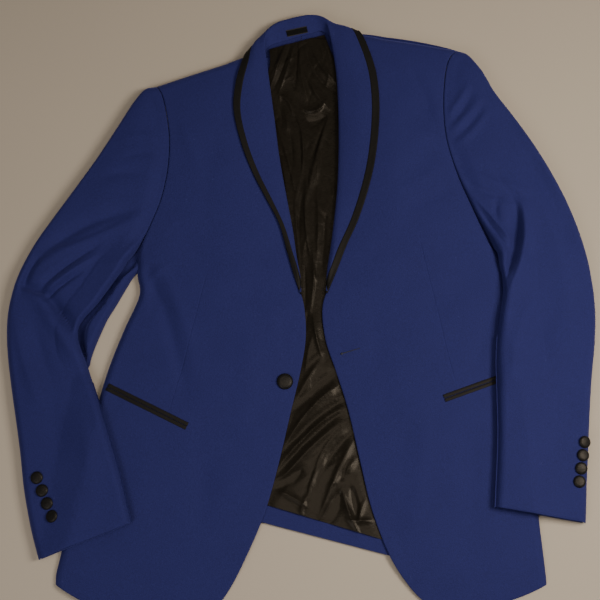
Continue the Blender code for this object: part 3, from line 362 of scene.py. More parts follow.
# Seam between the back and a side panel, one point per front row from the armhole's last row.
SIDE_SEAM_RIGHT = (
    (-20.8, 9.0),
    (-20.0, 4.4),
    (-19.7, 0.8),
    (-19.6, -4.6),
    (-19.6, -10.0),
    (-19.7, -15.6),
    (-19.8, -21.6),
    (-19.9, -27.0),
    (-20.0, -31.2),
    (-20.1, -33.5),
)
SIDE_SEAM_LEFT = (
    (23.8, 10.6),
    (23.0, 4.6),
    (22.6, -0.4),
    (22.2, -5.4),
    (21.9, -10.4),
    (21.6, -16.0),
    (21.4, -22.0),
    (21.3, -28.0),
    (21.2, -33.0),
    (21.1, -36.5),
)
LINING_BACK = table(
    FlatRow,
    (-4.5, 37.7, 3.6, 40.1, 0.80, 0.0),
    (-4.5, 34.6, 5.1, 36.0, 0.80, 0.0),
    (-6.0, 31.0, 7.2, 32.0, 0.48, 0.0),
    (-7.6, 27.0, 9.0, 28.0, 0.24, 0.0),
    (-7.2, 22.0, 9.0, 23.0, 0.24, 0.0),
    (-5.8, 13.0, 8.6, 14.0, 0.24, 0.0),
    (-4.4, 4.0, 7.8, 4.0, 0.24, 0.0),
    (-3.4, -5.0, 7.8, -5.0, 0.24, 0.0),
    (-4.4, -13.0, 9.4, -13.0, 0.24, 0.0),
    (-6.4, -21.0, 12.0, -22.0, 0.24, 0.0),
    (-7.6, -25.4, 13.4, -31.0, 0.40, 0.0),
    (-8.0, -27.0, 13.8, -33.4, 0.40, 0.0),
)
HEM_BACK = table(
    FlatRow,
    (-8.6, -26.9, 15.2, -33.5, 0.24, 0.0),
    (-8.9, -29.25, 15.6, -35.5, 0.24, 0.0),
)


# Folds: a curve through three points, its width and its height, where a trough is negative.
# lean makes one side of it wider and the other steeper.
Crease = namedtuple("Crease", "start_x start_y bend_x bend_y end_x end_y width height lean")
LINING_FOLDS = table(
    Crease,
    (-1.9, 39.2, -3.0, 35.6, -4.4, 31.6, 0.26, 0.20, 0.2),
    (-1.3, 38.8, -2.3, 35.0, -3.8, 31.4, 0.20, -0.20, 0.0),
    (-0.9, 38.2, -1.7, 34.6, -3.2, 30.6, 0.22, 0.22, -0.2),
    (-2.6, 37.6, -3.3, 35.4, -4.2, 33.4, 0.22, 0.16, 0.0),
    (-0.5, 39.6, -0.2, 36.0, -0.8, 31.6, 0.16, -0.22, 0.5),
    (0.2, 37.6, -0.4, 34.0, 1.4, 29.4, 0.36, 0.24, -0.3),
    (0.8, 33.6, 1.9, 31.0, 4.1, 28.5, 0.34, 0.26, 0.3),
    (1.0, 37.2, 1.7, 33.4, 4.9, 31.0, 0.30, -0.26, 0.2),
    (1.7, 37.8, 2.6, 35.2, 5.0, 32.6, 0.34, 0.24, 0.2),
    (2.6, 40.2, 3.8, 38.2, 4.5, 36.2, 0.26, 0.20, 0.0),
    (2.7, 35.0, 3.8, 33.9, 4.8, 33.0, 0.22, 0.18, 0.0),
    (0.3, 28.5, 2.6, 26.9, 3.9, 29.9, 0.34, 0.34, 0.5),
    (0.8, 26.9, 2.2, 25.5, 3.4, 27.5, 0.60, -0.34, 0.0),
    (-3.1, 30.5, -1.2, 29.9, -1.1, 27.3, 0.36, 0.28, 0.2),
    (-2.3, 28.9, -1.9, 27.0, -1.7, 24.9, 0.40, 0.22, 0.0),
    (-0.7, 27.7, 1.6, 23.0, -0.6, 14.6, 0.32, 0.30, -0.4),
    (-0.2, 25.8, 0.4, 21.0, 0.0, 16.0, 0.28, -0.24, 0.0),
    (4.2, 27.5, 2.5, 22.6, 0.8, 14.4, 0.34, 0.30, 0.4),
    (3.6, 26.4, 2.4, 23.2, 1.5, 20.4, 0.20, -0.18, 0.0),
    (2.7, 22.0, 2.6, 19.6, 2.3, 17.0, 0.30, 0.24, 0.0),
    (-2.9, 24.4, -1.4, 20.0, -0.8, 16.0, 0.34, 0.24, 0.3),
    (-1.6, 25.2, -0.7, 21.4, -1.5, 17.4, 0.26, -0.22, 0.0),
    (-2.6, 21.0, -1.9, 16.0, -1.4, 11.6, 0.32, 0.20, 0.0),
    (1.0, 17.6, 0.2, 12.0, 1.4, 6.2, 0.34, 0.28, 0.4),
    (0.3, 15.4, -0.6, 10.4, 0.2, 4.6, 0.28, -0.24, 0.0),
    (2.4, 15.6, 2.8, 10.4, 2.2, 5.0, 0.36, 0.24, 0.2),
    (-0.8, 13.8, -0.2, 9.0, -0.1, 4.4, 0.26, 0.20, 0.2),
    (3.6, 12.4, 3.4, 8.4, 3.0, 3.6, 0.34, -0.22, 0.0),
    (1.6, 8.0, 2.4, 4.0, 1.4, -1.8, 0.30, 0.26, -0.3),
    (0.6, 4.6, 0.9, 1.6, 0.6, -2.4, 0.28, -0.22, 0.0),
    (1.8, -2.4, 2.0, -5.4, 3.1, -8.4, 0.32, 0.28, 0.3),
    (1.8, -4.8, 0.9, -7.2, 0.7, -9.8, 0.28, 0.22, 0.2),
    (1.2, -1.6, 0.6, -3.2, 0.9, -5.2, 0.34, -0.26, 0.0),
    (2.8, -8.6, 0.9, -10.9, -0.6, -14.0, 0.34, 0.22, 0.2),
    (5.8, -9.5, 2.4, -12.2, -2.0, -16.2, 0.42, -0.66, 0.1),
    (5.8, -11.6, 1.6, -13.9, -2.3, -20.3, 0.44, 0.42, 0.4),
    (6.0, -14.0, 1.6, -16.4, -3.0, -21.8, 0.34, -0.52, 0.1),
    (6.6, -14.8, 2.2, -16.4, -3.0, -23.4, 0.38, 0.36, 0.3),
    (5.6, -15.7, 0.9, -18.9, -3.6, -24.6, 0.38, -0.54, 0.1),
    (5.6, -17.0, 1.5, -19.8, -2.4, -24.8, 0.34, 0.30, 0.2),
    (5.6, -17.9, 2.2, -21.0, 1.0, -27.2, 0.26, 0.26, 0.3),
    (4.6, -19.0, 2.4, -22.4, 0.9, -25.6, 0.20, -0.18, 0.0),
    (7.8, -17.8, 5.2, -19.9, 3.4, -22.6, 0.34, -0.50, 0.1),
    (7.5, -18.9, 5.2, -22.4, 2.5, -30.0, 0.36, 0.30, 0.3),
    (5.4, -26.0, 6.2, -22.7, 8.1, -21.7, 0.34, 0.26, 0.0),
    (6.2, -23.4, 5.9, -24.4, 5.4, -25.0, 0.40, -0.24, 0.0),
    (5.3, -26.2, 4.4, -28.4, 2.9, -30.6, 0.64, -0.62, 0.3),
    (5.7, -26.2, 6.1, -29.0, 7.9, -32.0, 0.34, 0.32, -0.3),
    (6.8, -25.8, 7.3, -27.7, 7.5, -29.9, 0.32, -0.52, 0.0),
    (8.7, -27.3, 7.7, -29.0, 7.7, -30.5, 0.26, 0.24, 0.0),
    (0.3, -23.2, -1.6, -24.8, -4.0, -26.0, 0.50, -0.56, 0.3),
    (-2.9, -26.2, -0.9, -27.0, 1.0, -28.4, 0.40, 0.20, 0.0),
    (1.2, -26.6, -0.2, -28.4, 0.4, -29.8, 0.28, 0.20, 0.0),
    (6.4, -30.0, 8.2, -30.2, 10.2, -30.0, 0.30, 0.24, 0.0),
)
SLEEVE_RIGHT_FOLDS = table(
    Crease,
    (-35.2, 0.3, -32.8, -1.7, -30.2, -6.0, 0.64, -1.10, 0.36),
    (-36.0, -1.0, -33.4, -3.4, -30.9, -8.0, 0.80, 0.62, 0),
    (-38.3, 0.9, -37.8, 3.6, -36.2, 5.6, 0.48, -0.66, -0.3),
    (-38.6, 1.9, -36.6, 0.9, -34.2, 0.4, 0.58, -0.82, 0.2),
    (-37.6, 0.6, -35.9, -0.4, -34.2, -1.2, 0.63, 0.32, 0),
    (-35.9, 0.9, -34.0, 3.5, -28.1, 7.2, 0.42, -0.58, 0.2),
    (-35.2, 0.4, -32.6, 2.9, -28.3, 5.7, 0.45, 0.42, 0),
    (-34.9, -0.4, -33.2, 1.6, -30.2, 3.4, 0.38, -0.52, 0.2),
    (-37.2, 4.6, -31.4, 11.0, -22.0, 12.8, 0.85, -0.56, 0.2),
    (-37.4, 3.4, -30.6, 8.6, -22.6, 11.0, 0.93, 0.36, 0),
    (-34.0, 7.4, -29.4, 8.0, -24.2, 11.6, 0.70, -0.29, 0.2),
    (-21.6, 17.6, -24.6, 18.6, -28.4, 17.0, 0.78, -0.23, 0),
    (-19.9, 23.2, -22.6, 24.0, -25.6, 23.0, 0.54, 0.13, 0),
    (-20.2, 20.8, -22.4, 21.4, -25.0, 20.2, 0.47, -0.13, 0),
    (-39.2, -1.6, -38.0, -8.6, -35.0, -14.6, 1.02, 0.29, 0.3),
    (-36.4, -3.6, -35.2, -8.0, -33.2, -12.0, 0.85, -0.26, 0),
    (-33.6, -13.0, -32.4, -18.0, -32.0, -23.0, 1.71, -0.19, 0),
    (-28.8, -15.6, -28.4, -20.6, -27.0, -26.0, 1.24, 0.17, 0),
)
UNDER_RIGHT_FOLDS = table(
    Crease,
    (-23.6, 4.9, -27.4, -0.7, -30.6, -4.0, 0.29, 0.22, 0.3),
    (-30.6, -3.6, -30.3, -5.8, -29.0, -8.3, 0.25, -0.19, 0),
)
SLEEVE_LEFT_FOLDS = table(
    Crease,
    (30.3, 13.3, 31.2, 7.5, 27.3, 0.9, 0.58, -1.15, -0.45),
    (30.9, 13.9, 32.3, 7.4, 28.2, 0.2, 0.80, 0.72, 0.50),
    (27.9, 14.4, 27.0, 12.6, 27.8, 10.4, 0.35, -0.36, 0.2),
    (31.8, 20.8, 35.6, 14.4, 37.6, 7.6, 1.00, -0.34, 0.2),
    (23.2, 16.8, 26.2, 14.6, 30.6, 13.8, 0.47, -0.30, 0.3),
    (22.9, 18.4, 27.0, 16.4, 31.8, 15.4, 0.63, 0.24, 0),
    (24.1, 14.8, 27.2, 11.4, 30.2, 6.2, 0.35, 0.30, 0.3),
    (24.9, 12.8, 27.4, 9.8, 29.6, 5.0, 0.28, -0.26, 0),
    (25.2, 10.4, 27.0, 7.4, 28.4, 3.8, 0.31, 0.24, 0),
    (27.6, 18.0, 29.0, 14.6, 32.0, 14.0, 0.39, -0.21, 0.2),
    (21.2, 26.9, 22.6, 28.4, 24.4, 31.6, 0.38, 0.30, 0.2),
    (21.4, 25.6, 23.4, 27.2, 25.0, 30.6, 0.36, -0.32, 0),
    (21.4, 24.4, 23.8, 26.0, 26.2, 29.6, 0.38, 0.32, 0.2),
    (21.7, 23.3, 24.2, 24.6, 26.5, 28.6, 0.36, -0.30, 0),
    (22.2, 22.2, 25.0, 24.2, 26.9, 27.4, 0.42, 0.28, 0.2),
    (26.6, 31.4, 30.2, 24.6, 35.2, 15.0, 1.56, -0.26, 0),
    (29.4, 29.4, 34.0, 22.0, 37.6, 13.0, 1.17, 0.18, 0),
    (34.2, 12.4, 36.6, 5.4, 36.4, -3.0, 1.41, 0.21, 0),
    (32.2, 0.4, 28.8, -5.0, 28.0, -12.4, 1.02, 0.24, 0.2),
    (34.6, -1.6, 31.6, -8.0, 31.4, -16.0, 1.48, -0.18, 0),
    (35.0, -12.0, 34.4, -18.0, 34.0, -24.0, 1.41, 0.12, 0),
)
FRONT_RIGHT_FOLDS = table(
    Crease,
    (-22.0, 4.4, -18.5, -0.6, -15.4, -13.8, 0.78, -0.56, 0.35),
    (-20.6, 5.4, -16.2, 0.6, -13.9, -10.6, 0.90, 0.26, 0),
    (-18.6, 9.6, -15.0, 7.2, -12.0, 4.0, 1.70, -0.34, 0),
    (-22.4, 3.0, -20.4, 1.2, -20.0, -2.0, 0.50, -0.38, 0.2),
    (-21.6, 1.8, -20.2, 3.4, -18.4, 4.6, 0.54, 0.19, 0),
    (-13.4, -19.0, -12.2, -26.0, -13.4, -33.0, 1.98, -0.26, 0),
    (-20.4, -18.6, -20.6, -25.6, -22.6, -32.0, 2.16, 0.19, 0),
    (-7.0, -3.0, -6.6, -12.0, -8.0, -21.0, 1.71, 0.16, 0),
    (-11.0, 26.0, -13.6, 18.0, -13.0, 8.0, 2.16, -0.19, 0),
    (-17.6, 25.4, -15.4, 23.0, -14.6, 18.6, 1.17, 0.14, 0),
    (-18.6, 13.6, -16.4, 12.4, -13.6, 12.6, 0.81, -0.13, 0),
    (-4.2, -1.0, -3.4, -7.0, -2.6, -10.4, 0.90, 0.10, 0),
)
FRONT_LEFT_FOLDS = table(
    Crease,
    (15.2, 35.6, 17.6, 31.6, 19.4, 25.4, 0.95, -0.30, 0),
    (13.4, 15.2, 17.2, 17.0, 21.0, 19.8, 0.72, 0.14, 0.2),
    (14.6, 12.6, 18.2, 14.2, 22.4, 16.4, 0.72, -0.12, 0),
    (16.0, 24.6, 18.4, 23.4, 20.2, 24.4, 0.72, 0.12, 0),
    (17.0, 29.2, 18.8, 27.4, 20.0, 27.2, 0.72, -0.11, 0),
    (14.2, -34.0, 16.3, -23.4, 17.0, -13.2, 1.44, 0.18, 0),
    (22.4, -17.0, 23.0, -24.0, 22.6, -33.0, 2.16, -0.21, 0),
    (10.0, -2.0, 10.6, -9.0, 12.4, -16.0, 1.53, -0.14, 0),
    (26.6, -1.6, 25.0, -6.6, 23.4, -9.8, 1.08, -0.21, 0),
    (7.2, -10.0, 8.6, -8.2, 11.4, -7.2, 0.63, -0.08, 0),
    (12.6, 27.0, 13.8, 19.0, 13.0, 9.0, 2.16, 0.14, 0),
)

# A dart, as points from its top down.
DART_RIGHT = ((-12.7, 4.2), (-13.7, 0.0), (-14.7, -4.4), (-15.9, -9.4), (-17.6, -15.6))
DART_LEFT = ((16.5, 9.0), (17.8, 3.0), (19.0, -2.4), (20.0, -7.4), (21.1, -12.2))

POCKET_RIGHT = ((-15.1, -17.75), (-26.0, -12.4))
POCKET_LEFT = ((19.4, -14.0), (28.6, -10.7))
BUTTONHOLE = ((5.55, -7.80), (8.2, -7.02))
FRONT_BUTTON_PLACE = (-2.05, -11.6)
CUFF_BUTTONS_RIGHT = ((-34.65, -24.6), (-32.35, -29.6))
CUFF_BUTTONS_LEFT = ((37.8, -19.9), (36.8, -25.1))
CUFF_BUTTON_COUNT = 4
LABEL = ((-1.95, 40.15), (1.05, 40.90))
RIGHT_LIES_FROM = 10.5
LEFT_LIES_FROM = 7.0

# ---------------------------------------------------------------- curves and heights
def curve(points, places):
    """Points of a smooth curve through equally spaced points, at places counted in points."""
    data = np.asarray(points, dtype=float)
    places = np.asarray(places, dtype=float)
    last = len(data) - 1
    index = np.clip(places.astype(int), 0, last - 1)
    part = (places - index).reshape((-1,) + (1,) * (data.ndim - 1))
    before, start = data[np.maximum(index - 1, 0)], data[index]
    end, after = data[index + 1], data[np.minimum(index + 2, last)]
    bend = 2 * start + (end - before) * part
    bend += (2 * before - 5 * start + 4 * end - after) * part ** 2
    bend += (3 * start - before - 3 * end + after) * part ** 3
    return bend / 2


def rows_at(table, places):
    """Columns of a table at places counted in rows, each as a column to set against a row."""
    data = curve(table, places)
    return type(table[0])(*(data[:, i : i + 1] for i in range(data.shape[1])))


def mix(a, b, part):
    return a + (b - a) * part


def smooth(part):
    part = np.clip(part, 0.0, 1.0)
    return part * part * (3 - 2 * part)


def rounded(distance, radius):
    """Height of a rounded fold, from 0 on its outer side to 1 at a radius inside."""
    part = 1 - np.clip(distance / radius, 0.0, 1.0)
    return np.sqrt(1 - part * part)


def crease_field(creases, x, y, crisp=WOOL_CRISP):
    """Sum of the folds at the points, each fading towards both of its ends."""
    total = np.zeros_like(x)
    steps = np.linspace(0.0, 1.0, CREASE_STEPS)
    for crease in creases:
        start = np.array((crease.start_x, crease.start_y))
        bend = np.array((crease.bend_x, crease.bend_y))
        end = np.array((crease.end_x, crease.end_y))
        reach = CREASE_REACH * crease.width * (1 + abs(crease.lean))
        corners = np.array((start, bend, end))
        near = (x > corners[:, 0].min() - reach) & (x < corners[:, 0].max() + reach)
        near &= (y > corners[:, 1].min() - reach) & (y < corners[:, 1].max() + reach)
        if not near.any():
            continue
        here = np.stack((x[near], y[near]), axis=-1)
        t = steps[:, None]
        line = (1 - t) ** 2 * start + 2 * t * (1 - t) * bend + t ** 2 * end
        nearest = np.hypot(
            here[:, None, 0] - line[None, :, 0], here[:, None, 1] - line[None, :, 1]
        ).argmin(axis=1)
        part = steps[nearest]
        run = 2 * ((1 - part)[:, None] * (bend - start) + part[:, None] * (end - bend))
        gap = here - line[nearest]
        length = (run * run).sum(axis=1)
        part = part + (gap * run).sum(axis=1) / length
        side = (run[:, 0] * gap[:, 1] - run[:, 1] * gap[:, 0]) / np.sqrt(length)
        turn = 2 * (start - 2 * bend + end)
        swerve = (run[:, 0] * turn[1] - run[:, 1] * turn[0]) / np.sqrt(length)
        side -= swerve * (part - steps[nearest]) ** 2 / 2
        past = np.maximum(np.maximum(-part, part - 1), 0) * np.sqrt(length)
        width = crease.width * (1 + crease.lean * np.sign(side))
        fade = np.sin(np.pi * mix(0.04, 0.96, np.clip(part, 0, 1))) ** 0.8
        away = np.abs(side / width) ** crisp + (past / width) ** 2
        total[near] += crease.height * fade * np.exp(-away)
    return total


def hand_laid(x, y, seed):
    """Slow unevenness of cloth smoothed out by hand, about 1 high."""
    turn = np.random.default_rng(seed)
    total = np.zeros_like(x)
    for length in HAND_LENGTHS:
        angle, phase = turn.uniform(0, 2 * np.pi, 2)
        total += np.sin((x * np.cos(angle) + y * np.sin(angle)) * 2 * np.pi / length + phase)
    return total / len(HAND_LENGTHS)


def small_folds(seed, count, box, heading, stray, width, height):
    """Small folds strewn in a box, about one heading, for what no one lays on purpose."""
    pick = np.random.default_rng(seed)
    folds = []
    for number in range(count):
        x = pick.uniform(box[0], box[2])
        y = pick.uniform(box[1], box[3])
        angle = heading + pick.normal(0, stray)
        half = pick.uniform(0.8, 2.2)
        across, up = half * math.cos(angle), half * math.sin(angle)
        bow = pick.uniform(-0.5, 0.5)
        folds.append(
            Crease(
                x - across, y - up, x - bow * up, y + bow * across, x + across, y + up,
                width * pick.uniform(0.6, 1.4),
                height * pick.uniform(0.5, 1.2) * (1 if number % 2 else -1),
                pick.uniform(-0.3, 0.3),
            )
        )
    return folds


# ---------------------------------------------------------------- grids
def spread(*stops):
    """Rising places through the stops, each given with the count of steps that lead to it."""
    places = [stops[0]]
    for count, stop in stops[1:]:
        start = places[-1]
        places += [start + (stop - start) * (i + 1) / count for i in range(count)]
    return np.array(places)


def points_from(x, y, z):
    x, y, z = np.broadcast_arrays(x, y, z)
    return np.stack((x, y, z), axis=-1)


TOP_PLACES = (0.0, (4, 0.02), (6, 0.2), (6, 0.6), (4, 1.0))


def across_front(rows, dart, places):
    """Way across each row, with columns that follow the dart and crowd beside it."""
    row = rows_at(rows, places)
    dart = np.array(dart)
    order = np.argsort(dart[:, 1])
    y = (row.edge_y + row.side_y) / 2
    dart_x = np.interp(y, dart[order, 1], dart[order, 0])
    width = np.hypot(row.side_x - row.edge_x, row.side_y - row.edge_y)
    middle = (dart_x - row.edge_x) / (row.side_x - row.edge_x)
    before = spread(0.0, (8, 0.03), (24, 1.0))
    near = np.array((-0.2, -0.12, -0.07, -0.035, 0.0, 0.035, 0.07, 0.12, 0.2))
    after = spread(0.0, (24, 0.88), (14, 0.975), (8, 1.0))
    half = DART_STRIP / width
    left = (middle - half) * before[None, :]
    centre = middle + near[None, 1:-1] / 0.2 * half
    right = mix(middle + half, 1.0, after[None, :])
    return np.concatenate((left, centre, right), axis=1), middle, width


def front_grid(rows, dart, creases, gape_from, seed):
    """Outer face of a front, with the feet of its shoulder and side folds."""
    places = spread(*TOP_PLACES, (8 * 6, 7.0), (12, 8.0), (8 * 9, len(rows) - 1.0))
    u, dart_u, width = across_front(rows, dart, places)
    row = rows_at(rows, places)
    top = rows_at(rows, [0.0])
    v = places[:, None]
    x = mix(row.edge_x, row.side_x, u)
    y = mix(row.edge_y, row.side_y, u) - row.bow * 4 * u * (1 - u)
    middle = row.body_z - (row.edge_z + row.side_z) / 2
    z = mix(row.edge_z, row.side_z, u) + middle * np.sin(np.pi * u)
    clear = smooth((1 - u) * width / 2.5) * smooth(u * width / 3.0) * smooth(v / 2)
    folds = crease_field(creases, x, y) + HAND_HEIGHT * hand_laid(x, y, seed)
    z = z + folds * clear
    ys = np.array(dart)[:, 1]
    along = smooth((ys.max() - y) / 1.5) * smooth((y - ys.min()) / 0.6)
    z -= DART_DEPTH * np.exp(-(((u - dart_u) * width / DART_HALF) ** 2)) * along
    z -= DART_PUCKER * np.exp(-(((u - dart_u) * width / 1.1) ** 2)) * along
    side = rounded((1 - u) * width, FOLD_ROUND)
    fold = smooth(np.clip(row.fold, 0, 1))
    z = z * mix(1.0, side, fold)
    z -= EDGE_DROP * (1 - rounded(u * width, EDGE_ROUND)) * smooth(v - ARMHOLE_ROWS)
    z -= SEAM_DROP * (1 - rounded((1 - u) * width, SEAM_ROUND)) * (1 - fold)
    gape = smooth((v - gape_from) / 2) * (1 - fold)
    z -= GAPE * (1 - rounded((1 - u) * width, GAPE_ROUND)) * gape
    from_top = np.hypot(x - mix(top.edge_x, top.side_x, u), y - mix(top.edge_y, top.side_y, u))
    lift = mix(NECK_LIFT, 0.0, smooth((u - 0.12) / 0.2))
    z = lift + (z - lift) * rounded(from_top, SHOULDER_ROUND)
    hem = rows_at(rows, [len(rows) - 1.0])
    hem_y = mix(hem.edge_y, hem.side_y, u) - hem.bow * 4 * u * (1 - u)
    z -= EDGE_DROP * (1 - rounded(np.hypot(y - hem_y, (v < 14) * 9.0), EDGE_ROUND))
    grid = points_from(x, y, z)
    foot = grid[:, -1:].copy()
    under = smooth(v - ARMHOLE_ROWS)
    foot[:, :, 2] = mix(np.maximum(foot[:, :, 2] - 0.15, 0.0), 0.0, under)
    grid[:, -1, 2] = np.maximum(grid[:, -1, 2] * (1 - under[:, 0]), foot[:, 0, 2] + 0.03)
    return np.concatenate((grid, foot), axis=1)


def flat_grid(rows, across, wall, steps):
    """Upper face of a piece that lies flat, given the height of its lower face."""
    places = np.linspace(0, len(rows) - 1, (len(rows) - 1) * steps + 1)
    row = rows_at(rows, places)
    u = np.asarray(across)[None, :]
    x = mix(row.near_x, row.far_x, u)
    y = mix(row.near_y, row.far_y, u) - row.bow * 4 * u * (1 - u)
    z = np.maximum(row.low, 0.0) + wall + np.zeros_like(x)
    return points_from(x, y, z)


class Ground:
    """What a piece comes to lie on: the upper faces of the pieces made so far."""

    def __init__(self, box):
        self.trees = []
        self.box = box
        self.maps = {}

    def add(self, grid):
        points = grid.reshape(-1, 3).tolist()
        index = np.arange(len(points)).reshape(grid.shape[:2])
        faces = np.stack((index[:-1, :-1], index[:-1, 1:], index[1:, 1:], index[1:, :-1]), axis=-1)
        self.trees.append(BVHTree.FromPolygons(points, faces.reshape(-1, 4).tolist()))
        self.maps = {}

    def hit(self, x, y):
        best = None
        for tree in self.trees:
            found = tree.ray_cast(Vector((x, y, RAY_TOP)), Vector((0.0, 0.0, -1.0)))
            if found[0] is not None and (best is None or found[0].z > best[0].z):
                best = found
        return best

    def normal(self, x, y):
        """Place and upward normal at a point; a gap takes the nearest cloth's."""
        found = self.hit(x, y)
        if found is None:
            near = [tree.find_nearest(Vector((x, y, GAP_HEIGHT))) for tree in self.trees]
            found = min(near, key=lambda each: each[3])
            found = (Vector((x, y, found[0].z)), found[1])
        place, up = found[:2]
        return place, up if up.z > 0 else -up

    def draped(self, slope, reach):
        """Map of cloth over the ground: it slopes off from any higher place nearby."""
        key = (slope, reach)
        if key in self.maps:
            return self.maps[key]
        left, low, right, high = self.box
        columns = int((right - left) / MAP_STEP) + 1
        lines = int((high - low) / MAP_STEP) + 1
        heights = np.zeros((lines, columns))
        for i in range(lines):
            for j in range(columns):
                found = self.hit(left + j * MAP_STEP, low + i * MAP_STEP)
                if found is not None:
                    heights[i, j] = found[0].z
        far = int(reach / MAP_STEP)
        padded = np.pad(heights, far)
        best = heights.copy()
        for i in range(-far, far + 1):
            for j in range(-far, far + 1):
                away = math.hypot(i, j)
                if 0 < away <= far:
                    moved = padded[far + i : far + i + lines, far + j : far + j + columns]
                    best = np.maximum(best, moved - slope * away * MAP_STEP)
        self.maps[key] = best
        return best

    def drape(self, x, y, slope=DRAPE_SLOPE, reach=DRAPE_REACH):
        best = self.draped(slope, reach)
        column = np.clip((x - self.box[0]) / MAP_STEP, 0, best.shape[1] - 1.001)
        line = np.clip((y - self.box[1]) / MAP_STEP, 0, best.shape[0] - 1.001)
        j, i = column.astype(int), line.astype(int)
        across, up = column - j, line - i
        low = mix(best[i, j], best[i, j + 1], across)
        high = mix(best[i + 1, j], best[i + 1, j + 1], across)
        return mix(low, high, up)


def sleeve_edges(rows, places):
    """Inner and outer edge of the top sleeve in each row, and the way from one to the other."""
    row = rows_at(rows, places)
    inner = np.concatenate((row.inner_x, row.inner_y), axis=1)
    outer = np.concatenate((row.outer_x, row.outer_y), axis=1)
    away = outer - inner
    away /= np.linalg.norm(away, axis=1, keepdims=True)
    v = places[:, None]
    seam = smooth((ARMHOLE_ROWS + 1 - v) * 2)
    near = smooth(v - ARMHOLE_ROWS + 1) * seam
    return row, inner + away * (2 * SEAM_HALF * seam + 0.3 * near), outer, away


def under_sleeve_grid(rows, creases, ground, lies_from):
    """Upper face of an under sleeve: on the surface, and over the side of the body further down."""
    places = spread(0.4, (10, 1.0), (12 * 6, 7.0), (50, 13.0), (16, len(rows) - 1.0))
    row, inner, outer, away = sleeve_edges(rows, places)
    v = places[:, None]
    inset = np.where(v < ARMHOLE_ROWS, 0.10, PLATE_INSET)
    shown = smooth(row.show / 0.3)
    inner = inner + away * mix(inset, -row.show, shown)
    outer = outer - away * (PLATE_INSET + 0.02)
    u = spread(0.0, (10, 0.08), (18, 0.4), (10, 1.0))[None, :]
    join_from, join_to = UNDER_JOIN_ROWS
    joined = smooth((v - join_from) * 2) * smooth((join_to - v) * 2)
    inner = inner - away * UNDER_JOIN * joined
    x = mix(inner[:, :1], outer[:, :1], u)
    y = mix(inner[:, 1:], outer[:, 1:], u)
    over_body = smooth((v - lies_from) / 1.5)
    low = (ground.drape(x, y) + REST_GAP) * over_body
    across = u * np.hypot(outer[:, :1] - inner[:, :1], outer[:, 1:] - inner[:, 1:])
    roll = rounded(across, 1.0) * smooth((row.show - 0.4) / 1.8)
    share = across / np.maximum(row.show, 1.0)
    roll *= 1 - ROLL_DIP * smooth((share - ROLL_DIP_FROM) / ROLL_DIP_RUN)
    z = low + WOOL + ROLL_RISE * roll + crease_field(creases, x, y) * smooth(across - 0.3)
    return points_from(x, y, z)


def top_sleeve_grid(rows, front, creases, ground, gape_from, seed):
    """Outer face of a top sleeve, from the armhole seam over the crown to the elbow fold."""
    places = spread(*TOP_PLACES, (11 * 5, 6.0), (28 * 3, 9.0), (8 * 7, len(rows) - 1.0))
    row, inner, outer, away = sleeve_edges(rows, places)
    v = places[:, None]
    u = spread(0.0, (8, 0.03), (12, 0.12), (70, 0.88), (10, 0.97), (8, 1.0))[None, :]
    width = np.linalg.norm(outer - inner, axis=1, keepdims=True)
    seam_z = rows_at(front, np.minimum(places, ARMHOLE_ROWS)).side_z
    at_seam = 1 - smooth((v - ARMHOLE_ROWS + 0.5) / 1.2)
    x = mix(inner[:, :1], outer[:, :1], u)
    y = mix(inner[:, 1:], outer[:, 1:], u)
    swell = row.full * (0.88 + 0.12 * np.sin(np.pi * u))
    sewn = mix(swell, seam_z, 1 - smooth(u * width / 2.6))
    folded = swell * rounded(u * width, SLEEVE_ROUND)
    rise = mix(folded, sewn, at_seam) * rounded((1 - u) * width, SLEEVE_ROUND)
    clear = smooth((1 - u) * width / 1.6) * smooth(u * width / 1.2)
    folds = crease_field(creases, x, y) + HAND_HEIGHT * hand_laid(x, y, seed)
    rise = rise + folds * clear
    rise -= SEAM_DROP * (1 - rounded(u * width, SEAM_ROUND)) * at_seam
    gape = smooth((v - gape_from) / 2) * at_seam
    rise -= GAPE * (1 - rounded(u * width, GAPE_ROUND)) * gape
    rise += HEAD_ROPE * np.exp(-(((u * width - 0.9) / 0.5) ** 2)) * (1 - smooth(v / 4)) * at_seam
    rise -= EDGE_DROP * smooth((v - len(rows) + 1.25) * 4) * clear
    low = (ground.drape(x, y) + REST_GAP) * (1 - at_seam)
    from_top = np.hypot(x - x[:1], y - y[:1])
    top = rise * rounded(from_top, SHOULDER_ROUND)
    z = low + np.where(v < 2, top, rise)
    grid = points_from(x, y, z)
    start, foot = grid[:, :1].copy(), grid[:, -1:].copy()
    sewn_here = smooth(at_seam[:, 0] * 4)
    start[:, 0, :2] += away * TUCK * (1 - sewn_here)[:, None]
    under = ground.drape(start[:, 0, 0], start[:, 0, 1]) + REST_GAP
    start[:, 0, 2] = mix(under, np.maximum(start[:, 0, 2] - 0.15, 0.0), sewn_here)
    grid[:, 0, 2] = np.maximum(grid[:, 0, 2], start[:, 0, 2] + mix(FOOT, 0.04, sewn_here))
    beneath = ground.drape(foot[:, 0, 0], foot[:, 0, 1]) * (1 - at_seam[:, 0])
    foot[:, 0, 2] = np.where(beneath > 0.03, beneath + REST_GAP, 0.0)
    grid[:, -1, 2] = np.maximum(grid[:, -1, 2], foot[:, 0, 2] + 0.03)
    return np.concatenate((start, grid, foot), axis=1)


